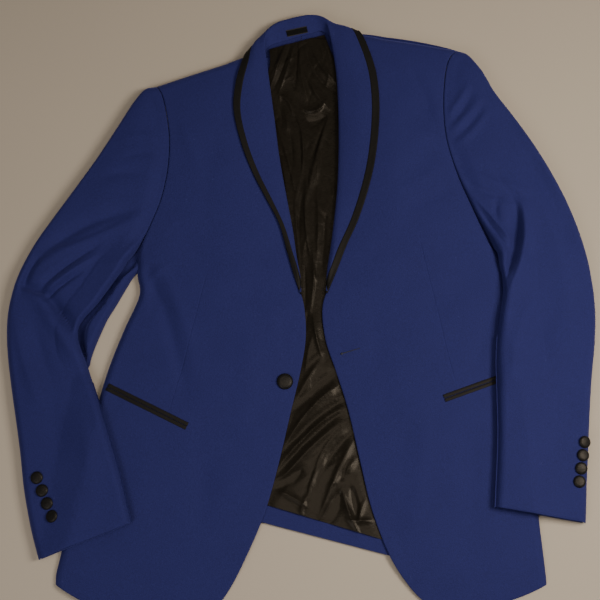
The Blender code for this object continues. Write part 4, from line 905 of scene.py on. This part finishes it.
def shawl_grid(rows, ground, seed):
    """Outer face of half the shawl, from its stand round the fold to its outer edge."""
    places = spread(0.0, (8 * 9, 9.0), (16 * 3, 12.0), (8 * 2, len(rows) - 1.0))
    data = curve(rows, places)
    roll, half = data[:, 0:3], data[:, 3:4]
    middle, edge, stand = data[:, 4:7], data[:, 7:10], data[:, 10:13]
    inward = unit(unit(stand - roll) + unit(middle - roll))
    across = middle - stand
    across = unit(across - inward * (across * inward).sum(axis=1, keepdims=True))
    turn_in = roll + (inward - across) * half
    turn_out = roll + (inward + across) * half
    controls = np.stack((stand, turn_in, roll, turn_out, middle, edge))
    section = spread(0.0, (5, 1.0), (14, 3.0), (12, 4.0), (8, 4.8), (6, 5.0))
    grid = curve(controls, section).transpose(1, 0, 2)
    x, y, z = grid[:, :, 0], grid[:, :, 1], grid[:, :, 2]
    lapel = ground.drape(x, y, LAPEL_SLOPE, LAPEL_REACH) + WOOL + LAPEL_GAP
    on_front = (section[None, :] > 2.9) & (places[:, None] < SHAWL_SHOULDER)
    z = np.where(on_front, np.maximum(z, lapel), z)
    for _ in range(LAPEL_SOFTENING):
        z[1:-1, 1:-1] = mix(z, softened(z), 0.8)[1:-1, 1:-1]
    broad = smooth((section[None, :] - 3.1) / 0.8) * smooth(places[:, None] - 0.5)
    z = z + 0.5 * HAND_HEIGHT * hand_laid(x, y, seed) * broad
    return points_from(x, y, z)


def unit(vectors):
    return vectors / np.linalg.norm(vectors, axis=-1, keepdims=True)


def softened(z):
    around = np.pad(z, 1, mode="edge")
    return (around[:-2, 1:-1] + around[2:, 1:-1] + around[1:-1, :-2] + around[1:-1, 2:]) / 4


def moved_out(grid, distance, sign):
    """Copy of a grid, moved out along its own normals, with those normals."""
    down = np.gradient(grid, axis=0)
    over = np.gradient(grid, axis=1)
    normal = unit(np.cross(over, down)) * sign
    return grid + normal * distance, normal


def trim_grid(shawl, sign):
    """Satin bound over the shawl's outer edge: a flat band, then the turn round the edge."""
    lines = []
    shares = np.interp(np.arange(len(shawl)), (0, 10), TRIM_SHARES)
    for line, share in zip(shawl, shares):
        back = line[::-1]
        run = np.concatenate(([0.0], np.cumsum(np.linalg.norm(np.diff(back, axis=0), axis=1))))
        width = min(TRIM_WIDTH, run[-1] * share)
        away = np.linspace(width, 0.0, 10)
        lines.append([np.interp(away, run, back[:, k]) for k in range(3)])
    base = np.array(lines).transpose(0, 2, 1)
    base = np.concatenate((base[:1] + unit(base[:1] - base[1:2]) * TRIM_OVERRUN, base))
    band, normal = moved_out(base, SATIN + GAP, sign)
    band[:, 0] -= normal[:, 0] * 0.05
    outward = unit(base[:, -1] - base[:, -2])
    turn = []
    for out, down in ((0.07, 0.02), (0.09, 0.10), (0.08, 0.20), (0.05, 0.27)):
        turn.append(band[:, -1] + outward * out - normal[:, -1] * down)
    return np.concatenate((band, np.stack(turn, axis=1)), axis=1)


def strip_on(ground, ends, width, steps, across, lift, shift=0.0):
    """Grid of a narrow strip that lies on the ground, crowned a little across its width."""
    start = Vector(ends[0])
    run = Vector(ends[1]) - start
    side = Vector((-run.y, run.x)).normalized()
    if side.y < 0:
        side = -side
    grid = np.zeros((steps + 1, across + 1, 3))
    for i in range(steps + 1):
        for j in range(across + 1):
            out = 2 * j / across - 1
            flat = start + run * (i / steps) + side * (out * width / 2 + shift)
            place, up = ground.normal(flat.x, flat.y)
            grid[i, j] = place + up * (lift + STRIP_CROWN * math.sqrt(1 - 0.95 * out * out))
    return grid


def tapered(grid, shares):
    """Strip drawn in towards its own middle line, by a share that changes along it."""
    middle = (grid[:, :1] + grid[:, -1:]) / 2
    places, amounts = zip(*shares)
    amount = np.interp(np.linspace(0, 1, len(grid)), places, amounts)
    return middle + (grid - middle) * amount[:, None, None]


def levelled(grid):
    """Grid laid on the flat that fits it best, and raised clear of what it lay on."""
    flat = grid.reshape(-1, 3)
    sides = np.column_stack((flat[:, 0], flat[:, 1], np.ones(len(flat))))
    fit = np.linalg.lstsq(sides, flat[:, 2], rcond=None)[0]
    level = (sides @ fit).reshape(grid.shape[:2])
    clear = max(float(np.percentile(grid[:, :, 2] - level, 85)), 0.0)
    result = grid.copy()
    result[:, :, 2] = level + clear
    return result


# ---------------------------------------------------------------- meshes
def to_world(point):
    return Vector(((point[0] - MIDDLE_X) * CM, (point[1] - MIDDLE_Y) * CM, point[2] * CM))


def activate(thing):
    bpy.ops.object.select_all(action="DESELECT")
    thing.select_set(True)
    bpy.context.view_layer.objects.active = thing


def keep_above_ground(mesh):
    """Flattens what a wall pushed under the surface, where a folded edge rests on it."""
    places = np.zeros(len(mesh.vertices) * 3)
    mesh.vertices.foreach_get("co", places)
    places[2::3] = np.maximum(places[2::3], 0.0)
    mesh.vertices.foreach_set("co", places)
    mesh.update()


def cloth(name, grid, wall, material, slot, node=None):
    """Cloth piece: the grid as its outer face, a wall inside it and softly rounded cut edges."""
    lines, across = grid.shape[:2]
    points = (grid - np.array((MIDDLE_X, MIDDLE_Y, 0.0))) * CM
    index = np.arange(lines * across).reshape(lines, across)
    faces = np.stack((index[:-1, :-1], index[1:, :-1], index[1:, 1:], index[:-1, 1:]), axis=-1)
    mesh = bpy.data.meshes.new(name)
    mesh.from_pydata(points.reshape(-1, 3).tolist(), [], faces.reshape(-1, 4).tolist())
    over = np.linalg.norm(np.diff(points, axis=1), axis=2)
    over = np.concatenate((np.zeros((lines, 1)), np.cumsum(over, axis=1)), axis=1)
    down = np.linalg.norm(np.diff(points[:, across // 2], axis=0), axis=1)
    down = np.concatenate(([0.0], np.cumsum(down)))[:, None] + np.zeros((1, across))
    places = np.stack((over - over[:, across // 2][:, None], down), axis=-1).reshape(-1, 2)
    layer = mesh.uv_layers.new(name="cloth")
    corners = np.zeros(len(mesh.loops), dtype=np.int32)
    mesh.loops.foreach_get("vertex_index", corners)
    layer.data.foreach_set("uv", places[corners].ravel())
    upward = sum(face.normal.z * face.area for face in mesh.polygons)
    if upward < 0:
        mesh.flip_normals()
    thing = bpy.data.objects.new(name, mesh)
    bpy.context.scene.collection.objects.link(thing)
    mesh.materials.append(material)
    activate(thing)
    solid = thing.modifiers.new("wall", "SOLIDIFY")
    solid.thickness = wall * CM
    solid.offset = -1.0
    bpy.ops.object.modifier_apply(modifier=solid.name)
    keep_above_ground(mesh)
    soft = thing.modifiers.new("edges", "BEVEL")
    soft.width = wall * CM * 0.3
    soft.segments = 2
    soft.limit_method = "ANGLE"
    soft.angle_limit = math.radians(EDGE_ANGLE)
    bpy.ops.object.modifier_apply(modifier=soft.name)
    bpy.ops.object.shade_smooth_by_angle(angle=math.radians(SMOOTH_ANGLE))
    return finish_piece(thing, slot, node or name)


def finish_piece(thing, slot, *nodes):
    thing.name = nodes[0] + "_look"
    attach(thing, "root")
    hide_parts(*nodes)
    return thing


def covered_button(node, place, up, radius, material):
    """Domed button covered in satin: a ball pressed flat, cut off at the back, with a firm rim."""
    bpy.ops.object.select_all(action="DESELECT")
    bpy.ops.mesh.primitive_uv_sphere_add(
        segments=BUTTON_AROUND, ring_count=BUTTON_RINGS, radius=1.0
    )
    thing = bpy.context.object
    bpy.ops.object.mode_set(mode="EDIT")
    bpy.ops.mesh.select_all(action="SELECT")
    bpy.ops.mesh.bisect(
        plane_co=(0, 0, -BUTTON_CUT), plane_no=(0, 0, 1), use_fill=True, clear_inner=True
    )
    bpy.ops.mesh.select_all(action="SELECT")
    bpy.ops.transform.translate(value=(0, 0, BUTTON_CUT))
    flatter = BUTTON_RISE / (1 + BUTTON_CUT)
    bpy.ops.transform.resize(value=(1, 1, flatter), center_override=(0, 0, 0))
    bpy.ops.object.mode_set(mode="OBJECT")
    for vertex in thing.data.vertices:
        out = math.hypot(vertex.co.x, vertex.co.y)
        top = smooth((0.82 - out) / 0.5)
        vertex.co.z -= BUTTON_DISH * float(top) * (vertex.co.z > 0.1)
    rim = thing.modifiers.new("back_edge", "BEVEL")
    rim.width = RIM_BEVEL
    rim.segments = 2
    rim.limit_method = "ANGLE"
    rim.angle_limit = math.radians(RIM_ANGLE)
    bpy.ops.object.modifier_apply(modifier=rim.name)
    thing.rotation_mode = "QUATERNION"
    thing.rotation_quaternion = Vector((0.0, 0.0, 1.0)).rotation_difference(up)
    thing.scale = (radius * CM,) * 3
    thing.location = to_world(place)
    bpy.ops.object.transform_apply(location=True, rotation=True, scale=True)
    bpy.ops.object.shade_smooth_by_angle(angle=math.radians(SMOOTH_ANGLE))
    thing.data.materials.append(material)
    return finish_piece(thing, "button_satin", node)


# ---------------------------------------------------------------- shading
def make_group(name, inputs, outputs):
    """Empty shader group with its sockets, and its input and output nodes."""
    group = bpy.data.node_groups.new(name, "ShaderNodeTree")
    for label, kind, value in inputs:
        socket = group.interface.new_socket(name=label, in_out="INPUT", socket_type=kind)
        if value is not None:
            socket.default_value = value
    for label, kind in outputs:
        group.interface.new_socket(name=label, in_out="OUTPUT", socket_type=kind)
    given = group.nodes.new("NodeGroupInput").outputs
    return group, given, group.nodes.new("NodeGroupOutput").inputs


def feed(tree, socket, value):
    if isinstance(value, bpy.types.NodeSocket):
        tree.links.new(value, socket)
    else:
        socket.default_value = value


def axes(tree, place):
    node = tree.nodes.new("ShaderNodeSeparateXYZ")
    feed(tree, node.inputs[0], place)
    return node.outputs


def calc(tree, operation, first, second=0.0, third=0.0):
    node = tree.nodes.new("ShaderNodeMath")
    node.operation = operation
    for socket, value in zip(node.inputs, (first, second, third)):
        feed(tree, socket, value)
    return node.outputs[0]


def noise(tree, place, scale, detail, roughness=0.5, distortion=0.0):
    node = tree.nodes.new("ShaderNodeTexNoise")
    feed(tree, node.inputs["Vector"], place)
    feed(tree, node.inputs["Scale"], scale)
    node.inputs["Detail"].default_value = detail
    node.inputs["Roughness"].default_value = roughness
    node.inputs["Distortion"].default_value = distortion
    return node.outputs["Fac"]


def wave(tree, amount):
    """Sine of an amount counted in turns, from 0 to 1."""
    turned = calc(tree, "MULTIPLY", amount, 2 * math.pi)
    return calc(tree, "MULTIPLY_ADD", calc(tree, "SINE", turned), 0.5, 0.5)


def spread_out(tree, value, low, high, to_low, to_high):
    node = tree.nodes.new("ShaderNodeMapRange")
    for label, amount in (
        ("Value", value), ("From Min", low), ("From Max", high), ("To Min", to_low), ("To Max", to_high)
    ):
        feed(tree, node.inputs[label], amount)
    return node.outputs["Result"]


def twill_group():
    """Diagonal ribs of a twill with the threads that cross them."""
    group, given, made = make_group(
        "twill_weave",
        (("Place", "NodeSocketVector", None), ("Rib", "NodeSocketFloat", 0.0011)),
        (("Height", "NodeSocketFloat"), ("Shade", "NodeSocketFloat")),
    )
    apart = axes(group, given["Place"])
    slant = calc(group, "ADD", apart["X"], calc(group, "MULTIPLY", apart["Y"], 0.8))
    rib = wave(group, calc(group, "DIVIDE", slant, given["Rib"]))
    pitch = calc(group, "MULTIPLY", given["Rib"], 0.6)
    thread = wave(group, calc(group, "DIVIDE", apart["Y"], pitch))
    yarn = noise(group, given["Place"], 900.0, 2.0)
    height = calc(group, "MULTIPLY_ADD", rib, 0.6, calc(group, "MULTIPLY", thread, 0.25))
    height = calc(group, "MULTIPLY_ADD", yarn, 0.5, height)
    feed(group, made["Height"], height)
    # Shade is for painted shade: low in the grooves between the ribs and threads, high on their tops.
    feed(group, made["Shade"], spread_out(group, height, 0.2, 1.1, 0.0, 1.0))
    return group


def mottle_group():
    """Uneven depth of dye and nap, in patches and in single fibres."""
    group, given, made = make_group(
        "cloth_mottle",
        (
            ("Place", "NodeSocketVector", None),
            ("Patch", "NodeSocketFloat", 0.03),
            ("Fibre", "NodeSocketFloat", 0.0016),
        ),
        (("Patches", "NodeSocketFloat"), ("Fibres", "NodeSocketFloat"), ("Lint", "NodeSocketFloat")),
    )
    patches = noise(group, given["Place"], calc(group, "DIVIDE", 1.0, given["Patch"]), 3.0)
    fibres = noise(group, given["Place"], calc(group, "DIVIDE", 1.0, given["Fibre"]), 3.0, 0.7)
    specks = noise(group, given["Place"], calc(group, "DIVIDE", 0.7, given["Fibre"]), 1.0, 0.5, 0.6)
    feed(group, made["Patches"], spread_out(group, patches, 0.3, 0.7, 0.0, 1.0))
    feed(group, made["Fibres"], spread_out(group, fibres, 0.25, 0.75, 0.0, 1.0))
    feed(group, made["Lint"], spread_out(group, specks, 0.74, 0.80, 0.0, 1.0))
    return group


def rib_group():
    """Fine ribs and slubs of a satin weave, with the slack ripples of thin cloth."""
    group, given, made = make_group(
        "satin_weave",
        (("Place", "NodeSocketVector", None), ("Rib", "NodeSocketFloat", 0.0008)),
        (("Height", "NodeSocketFloat"), ("Ripple", "NodeSocketFloat"), ("Slub", "NodeSocketFloat")),
    )
    apart = axes(group, given["Place"])
    rib = wave(group, calc(group, "DIVIDE", apart["Y"], given["Rib"]))
    long = group.nodes.new("ShaderNodeMapping")
    feed(group, long.inputs["Vector"], given["Place"])
    long.inputs["Scale"].default_value = (0.25, 1.6, 1.0)
    slub = noise(group, long.outputs["Vector"], 700.0, 2.0, 0.6)
    ripple = noise(group, given["Place"], 55.0, 3.0, 0.5, 1.2)
    feed(group, made["Height"], calc(group, "MULTIPLY_ADD", rib, 0.6, calc(group, "MULTIPLY", slub, 0.4)))
    feed(group, made["Ripple"], ripple)
    feed(group, made["Slub"], spread_out(group, slub, 0.3, 0.7, 0.0, 1.0))
    return group


def new_material(name):
    material = bpy.data.materials.new(name)
    material.use_nodes = True
    tree = material.node_tree
    place = tree.nodes.new("ShaderNodeTexCoord")
    return material, tree, tree.nodes["Principled BSDF"].inputs, place.outputs


def use_group(tree, group, **values):
    node = tree.nodes.new("ShaderNodeGroup")
    node.node_tree = group
    for label, value in values.items():
        feed(tree, node.inputs[label], value)
    return node.outputs


def blend(tree, part, first, second):
    node = tree.nodes.new("ShaderNodeMix")
    node.data_type = "RGBA"
    feed(tree, node.inputs["Factor"], part)
    feed(tree, node.inputs["A"], first)
    feed(tree, node.inputs["B"], second)
    return node.outputs["Result"]


def bump(tree, height, strength, distance, under=None):
    node = tree.nodes.new("ShaderNodeBump")
    feed(tree, node.inputs["Height"], height)
    node.inputs["Strength"].default_value = strength
    node.inputs["Distance"].default_value = distance
    if under is not None:
        feed(tree, node.inputs["Normal"], under)
    return node.outputs["Normal"]


def wool_material(twill, mottle):
    material, tree, shader, place = new_material("blue_wool")
    weave = use_group(tree, twill, Place=place["UV"], Rib=0.0011)
    dye = use_group(tree, mottle, Place=place["Object"], Patch=0.04, Fibre=0.0017)
    color = blend(tree, dye["Patches"], WOOL_DEEP, WOOL_FAIR)
    # Painted shade: the colour goes darker towards WOOL_SHADOW in the grooves of the twill, where its
    # ribs are low.
    color = blend(tree, calc(tree, "MULTIPLY", weave["Shade"], 0.35), WOOL_SHADOW, color)
    color = blend(tree, calc(tree, "MULTIPLY", dye["Fibres"], 0.42), color, WOOL_NAP)
    color = blend(tree, calc(tree, "MULTIPLY", dye["Lint"], 0.25), color, WOOL_LINT)
    feed(tree, shader["Base Color"], color)
    feed(tree, shader["Roughness"], spread_out(tree, dye["Fibres"], 0.0, 1.0, 0.72, 0.88))
    fine = bump(tree, weave["Height"], 0.45, 0.00015)
    feed(tree, shader["Normal"], bump(tree, dye["Fibres"], 0.55, 0.0004, fine))
    shader["Sheen Weight"].default_value = 0.30
    shader["Sheen Roughness"].default_value = 0.45
    shader["Sheen Tint"].default_value = (0.18, 0.19, 0.62, 1.0)
    shader["Specular IOR Level"].default_value = 0.12
    return material


def satin_material(name, weave, deep, fair, roughness, rib, ripple, gloss):
    material, tree, shader, place = new_material(name)
    cloth_weave = use_group(tree, weave, Place=place["UV"], Rib=rib)
    slack = use_group(tree, weave, Place=place["Object"], Rib=rib)
    # Painted sheen: the colour is fairer where the slack ripples rise, besides the slubs' own tone.
    ripple_sheen = calc(tree, "MULTIPLY", slack["Ripple"], 0.4)
    part = calc(tree, "MULTIPLY_ADD", cloth_weave["Slub"], 0.6, ripple_sheen)
    feed(tree, shader["Base Color"], blend(tree, part, deep, fair))
    feed(tree, shader["Roughness"], spread_out(tree, part, 0.0, 1.0, roughness - 0.05, roughness + 0.07))
    fine = bump(tree, cloth_weave["Height"], 0.10, 0.00004)
    feed(tree, shader["Normal"], bump(tree, slack["Ripple"], ripple, 0.0012, fine))
    shader["Specular IOR Level"].default_value = gloss
    shader["Specular Tint"].default_value = SATIN_GLEAM
    return material


def button_material(weave):
    """Satin drawn tight over a dome: smooth on top, gathered at the rim."""
    material, tree, shader, place = new_material("button_satin")
    cloth_weave = use_group(tree, weave, Place=place["Object"], Rib=0.0006)
    apart = axes(tree, place["UV"])
    gather = wave(tree, calc(tree, "MULTIPLY", apart["X"], 34.0))
    low = spread_out(tree, apart["Y"], 0.62, 0.48, 0.0, 1.0)
    gather = calc(tree, "MULTIPLY", gather, low)
    # Painted sheen: the colour is fairer on the ridges of the gathers at the rim, besides the slubs' own
    # tone.
    part = calc(tree, "MULTIPLY_ADD", cloth_weave["Slub"], 0.7, calc(tree, "MULTIPLY", gather, 0.3))
    feed(tree, shader["Base Color"], blend(tree, part, SATIN_DEEP, SATIN_FAIR))
    feed(tree, shader["Roughness"], spread_out(tree, part, 0.0, 1.0, 0.36, 0.50))
    fine = bump(tree, cloth_weave["Height"], 0.3, 0.00008)
    feed(tree, shader["Normal"], bump(tree, gather, 0.6, 0.0005, fine))
    shader["Specular IOR Level"].default_value = 0.15
    shader["Specular Tint"].default_value = SATIN_GLEAM
    return material


def thread_material(twill):
    """Purl of a worked buttonhole: twisted thread with painted shade in its grooves, and painted shade in
    the cut between its two edges.
    """
    material, tree, shader, place = new_material("thread")
    twist = use_group(tree, twill, Place=place["UV"], Rib=0.0007)
    apart = axes(tree, place["UV"])
    off = calc(tree, "ABSOLUTE", apart["X"])
    # Painted shade in the cut between the purl's two edges.
    cut = spread_out(tree, off, 0.0003, 0.0007, 1.0, 0.0)
    # Painted shade: the thread is darker in the grooves of its twist.
    color = blend(tree, twist["Shade"], THREAD_DEEP, THREAD_FAIR)
    feed(tree, shader["Base Color"], blend(tree, cut, color, THREAD_SLIT_SHADE))
    feed(tree, shader["Roughness"], spread_out(tree, twist["Shade"], 0.0, 1.0, 0.55, 0.75))
    feed(tree, shader["Normal"], bump(tree, twist["Height"], 0.5, 0.0002))
    return material


def label_material(weave):
    """Plain woven label: dark, with a paler selvedge along its long sides."""
    material, tree, shader, place = new_material("woven_label")
    tape = use_group(tree, weave, Place=place["UV"], Rib=0.0005)
    apart = axes(tree, place["UV"])
    border = spread_out(tree, calc(tree, "ABSOLUTE", apart["X"]), 0.0036, 0.0040, 0.0, 1.0)
    color = blend(tree, tape["Slub"], LABEL_DEEP, LABEL_FAIR)
    feed(tree, shader["Base Color"], blend(tree, border, color, LABEL_BORDER))
    feed(tree, shader["Roughness"], spread_out(tree, tape["Slub"], 0.0, 1.0, 0.55, 0.75))
    shader["Specular IOR Level"].default_value = 0.05
    feed(tree, shader["Normal"], bump(tree, tape["Height"], 0.4, 0.0001))
    return material


def table_material():
    material, tree, shader, place = new_material("pale_floor")
    grain = noise(tree, place["Object"], 1.4, 2.0)
    feed(tree, shader["Base Color"], blend(tree, grain, FLOOR_LOW, FLOOR_HIGH))
    shader["Roughness"].default_value = 0.85
    return material


# ---------------------------------------------------------------- the jacket
def lining_grid(folds):
    """Upper face of the back lining: slack and creased where it shows, flat where it's covered."""
    grid = flat_grid(LINING_BACK, np.linspace(0, 1, 131), LINING, 28)
    x, y, low = grid[:, :, 0], grid[:, :, 1], grid[:, :, 2]
    edges = []
    for shawl, front in ((SHAWL_RIGHT, FRONT_RIGHT), (SHAWL_LEFT, FRONT_LEFT)):
        line = [(row.stand_x, row.stand_y) for row in shawl[1:] if row.stand_y > 3.5]
        line = [(row.edge_x, row.edge_y) for row in front[:9:-1]] + line
        line = np.array(sorted(line, key=lambda point: point[1]))
        edges.append(np.interp(y, line[:, 1], line[:, 0]))
    inside = np.minimum(x - edges[0], edges[1] - x)
    slack = smooth(inside / SLACK_REACH + 0.25)
    top = smooth((LINING_TOP + LINING_TOP_SLOPE * x - y) / 0.8)
    height = LINING_LIFT + crease_field(folds, x, y, SATIN_CRISP) + 0.06 * hand_laid(x, y, LINING_SEED)
    height = np.maximum(height, 0.015) * slack * top
    return points_from(x, y, low + height)


def build_back(wool, lining):
    shown = {}
    across = np.linspace(0, 1, 31)
    for name, rows, sign in (("back_right", BACK_RIGHT, -1), ("back_left", BACK_LEFT, 1)):
        rows = [row._replace(near_x=row.near_x + sign * SEAM_HALF) for row in rows]
        grid = flat_grid(rows, across, WOOL, 6)
        shown[name] = cloth(name, grid, WOOL, wool, "blue_wool")
    sides = (
        ("side_right", SIDE_SEAM_RIGHT, FRONT_RIGHT, -1),
        ("side_left", SIDE_SEAM_LEFT, FRONT_LEFT, 1),
    )
    for name, seam, front, sign in sides:
        near = [(x + sign * 3 * SEAM_HALF, y, WOOL) for x, y in seam]
        far = [
            (row.side_x - sign * (PLATE_INSET + 0.12), row.side_y, WOOL)
            for row in front[ARMHOLE_ROWS:]
        ]
        places = np.linspace(0, len(seam) - 1, 55)
        near, far = curve(near, places), curve(far, places)
        part = np.linspace(0, 1, 13)[None, :, None]
        grid = near[:, None] + (far - near)[:, None] * part
        shown[name] = cloth(name, grid, WOOL, wool, "blue_wool")
    hem = flat_grid(HEM_BACK, np.linspace(0, 1, 121), HEM, 9)
    hem[:, :, 2] += 0.03 * hand_laid(hem[:, :, 0], hem[:, :, 1], HEM_SEED) + 0.02
    turned = []
    for out, down in HEM_TURN:
        line = hem[-1:].copy()
        line[:, :, 1] -= out
        line[:, :, 2] = np.maximum(line[:, :, 2] - down, 0.0)
        turned.append(line)
    hem = np.concatenate([hem] + turned, axis=0)
    shown["hem_back"] = cloth("hem_back", hem, HEM, wool, "blue_wool")
    folds = LINING_FOLDS
    for strewn in STREWN_FOLDS:
        folds = folds + small_folds(*strewn)
    grid = lining_grid(folds)
    shown["lining_back"] = cloth("lining_back", grid, LINING, lining, "lining_satin")
    return shown


def build_front(side, rows, dart, creases, shawl, pocket, wool, satin):
    """Front with its half of the shawl, the satin on the shawl's edge and the pocket's jets."""
    shown = {}
    sign = -1.0 if side == "right" else 1.0
    out = sign * GROUND_HALF
    box = (min(0.0, out) - GROUND_MARGIN, -GROUND_HALF, max(0.0, out) + GROUND_MARGIN, GROUND_HALF)
    grid = front_grid(rows, dart, creases, GAPE_FROM[side], FRONT_SEED + int(sign))
    front = Ground(box)
    front.add(grid)
    shown["front"] = cloth("front_" + side, grid, WOOL, wool, "blue_wool")
    collar = shawl_grid(shawl, front, SHAWL_SEED + int(sign))
    shown["shawl"] = cloth("shawl_" + side, collar, WOOL, wool, "blue_wool")
    shown["trim"] = cloth("trim_" + side, trim_grid(collar, sign), SATIN, satin, "black_satin")
    body = Ground(box)
    body.add(grid)
    for name, way in (("upper", 1), ("lower", -1)):
        shift = way * (JET_WIDTH / 2 + 0.02)
        jet = strip_on(front, pocket, JET_WIDTH, 60, 8, SATIN + GAP, shift)
        label = "jet_{}_{}".format(side, name)
        shown["jet_" + name] = cloth(label, jet, SATIN, satin, "black_satin")
        body.add(jet)
    return shown, front, body, collar


def build_sleeve(side, rows, front, creases, under_creases, body, lies_from, wool):
    under = under_sleeve_grid(rows, under_creases, body, lies_from)
    lower = cloth("sleeve_under_" + side, under, WOOL, wool, "blue_wool")
    body.add(under)
    top = top_sleeve_grid(rows, front, creases, body, GAPE_FROM[side], SLEEVE_SEED)
    upper = cloth("sleeve_top_" + side, top, WOOL, wool, "blue_wool")
    sleeve = Ground(body.box)
    sleeve.add(top)
    return upper, lower, sleeve


def build_cuff_buttons(side, ends, sleeve, material):
    buttons = []
    for number in range(CUFF_BUTTON_COUNT):
        flat = Vector(ends[0]).lerp(Vector(ends[1]), number / (CUFF_BUTTON_COUNT - 1))
        place, up = sleeve.normal(flat.x, flat.y)
        name = "button_cuff_{}_{}".format(side, number + 1)
        lean = Vector((0.0, 0.10 * (number % 2) - 0.05, 0.0))
        up = (up + lean).normalized()
        buttons.append(covered_button(name, place + up * BUTTON_GAP, up, CUFF_BUTTON_R, material))
    return buttons


def build_jacket():
    twill, mottle, weave = twill_group(), mottle_group(), rib_group()
    wool = wool_material(twill, mottle)
    satin = satin_material("black_satin", weave, SATIN_DEEP, SATIN_FAIR, 0.50, 0.0009, 0.10, 0.10)
    lining = satin_material("lining_satin", weave, LINING_DEEP, LINING_FAIR, 0.30, 0.0006, 0.34, 0.10)
    buttons = button_material(weave)
    thread = thread_material(twill)
    label_cloth = label_material(weave)

    back = build_back(wool, lining)
    right, right_front, right_body, right_collar = build_front(
        "right", FRONT_RIGHT, DART_RIGHT, FRONT_RIGHT_FOLDS, SHAWL_RIGHT, POCKET_RIGHT, wool, satin
    )
    left, left_front, left_body, left_collar = build_front(
        "left", FRONT_LEFT, DART_LEFT, FRONT_LEFT_FOLDS, SHAWL_LEFT, POCKET_LEFT, wool, satin
    )
    top_right, under_right, sleeve_right = build_sleeve(
        "right", SLEEVE_RIGHT, FRONT_RIGHT, SLEEVE_RIGHT_FOLDS, UNDER_RIGHT_FOLDS,
        right_body, RIGHT_LIES_FROM, wool,
    )
    top_left, under_left, sleeve_left = build_sleeve(
        "left", SLEEVE_LEFT, FRONT_LEFT, SLEEVE_LEFT_FOLDS, (), left_body, LEFT_LIES_FROM, wool
    )
    hole = tapered(strip_on(left_front, BUTTONHOLE, BUTTONHOLE_WIDTH, 60, 8, SATIN), EYE_SHARES)
    hole = cloth("buttonhole", hole, SATIN, thread, "thread")
    collar = Ground((-20.0, 20.0, 20.0, 45.0))
    collar.add(right_collar)
    collar.add(left_collar)
    label = levelled(strip_on(collar, LABEL, LABEL_WIDTH, 24, 10, LABEL_THICK))
    label = cloth("neck_label", label, LABEL_THICK, label_cloth, "lining_satin")
    place, up = right_front.normal(*FRONT_BUTTON_PLACE)
    button = covered_button("button_front", place + up * BUTTON_GAP, up, FRONT_BUTTON_R, buttons)
    cuff_right = build_cuff_buttons("right", CUFF_BUTTONS_RIGHT, sleeve_right, buttons)
    cuff_left = build_cuff_buttons("left", CUFF_BUTTONS_LEFT, sleeve_left, buttons)


# ---------------------------------------------------------------- stage
def aim(thing, place, target):
    way = Vector(target) - Vector(place)
    thing.rotation_mode = "QUATERNION"
    thing.rotation_quaternion = way.to_track_quat("-Z", "Y")
    thing.location = place


def build_stage():
    bpy.ops.mesh.primitive_plane_add(size=FLOOR_SIZE, location=(0.0, 0.0, -FLOOR_DROP))
    floor = bpy.context.object
    floor.name = "floor"
    floor.data.materials.append(table_material())
    for lamp in LAMPS:
        light = bpy.data.lights.new(lamp.name, "AREA")
        light.size = lamp.size
        light.energy = lamp.power
        light.color = lamp.color
        thing = bpy.data.objects.new(lamp.name, light)
        bpy.context.scene.collection.objects.link(thing)
        aim(thing, (lamp.x, lamp.y, lamp.z), LAMP_TARGET)
    world = bpy.data.worlds.new("studio")
    world.use_nodes = True
    background = world.node_tree.nodes["Background"].inputs
    background["Color"].default_value = WORLD_COLOR
    background["Strength"].default_value = WORLD_STRENGTH
    bpy.context.scene.world = world
    lens = bpy.data.cameras.new("camera")
    lens.lens = CAMERA_LENS
    lens.sensor_width = SENSOR_WIDTH
    lens.dof.use_dof = False
    camera = bpy.data.objects.new("camera", lens)
    camera.location = to_world(CAMERA_PLACE)
    camera.rotation_euler = (math.radians(CAMERA_TILT), 0.0, 0.0)
    bpy.context.scene.collection.objects.link(camera)
    bpy.context.scene.camera = camera


build_stage()
build_jacket()
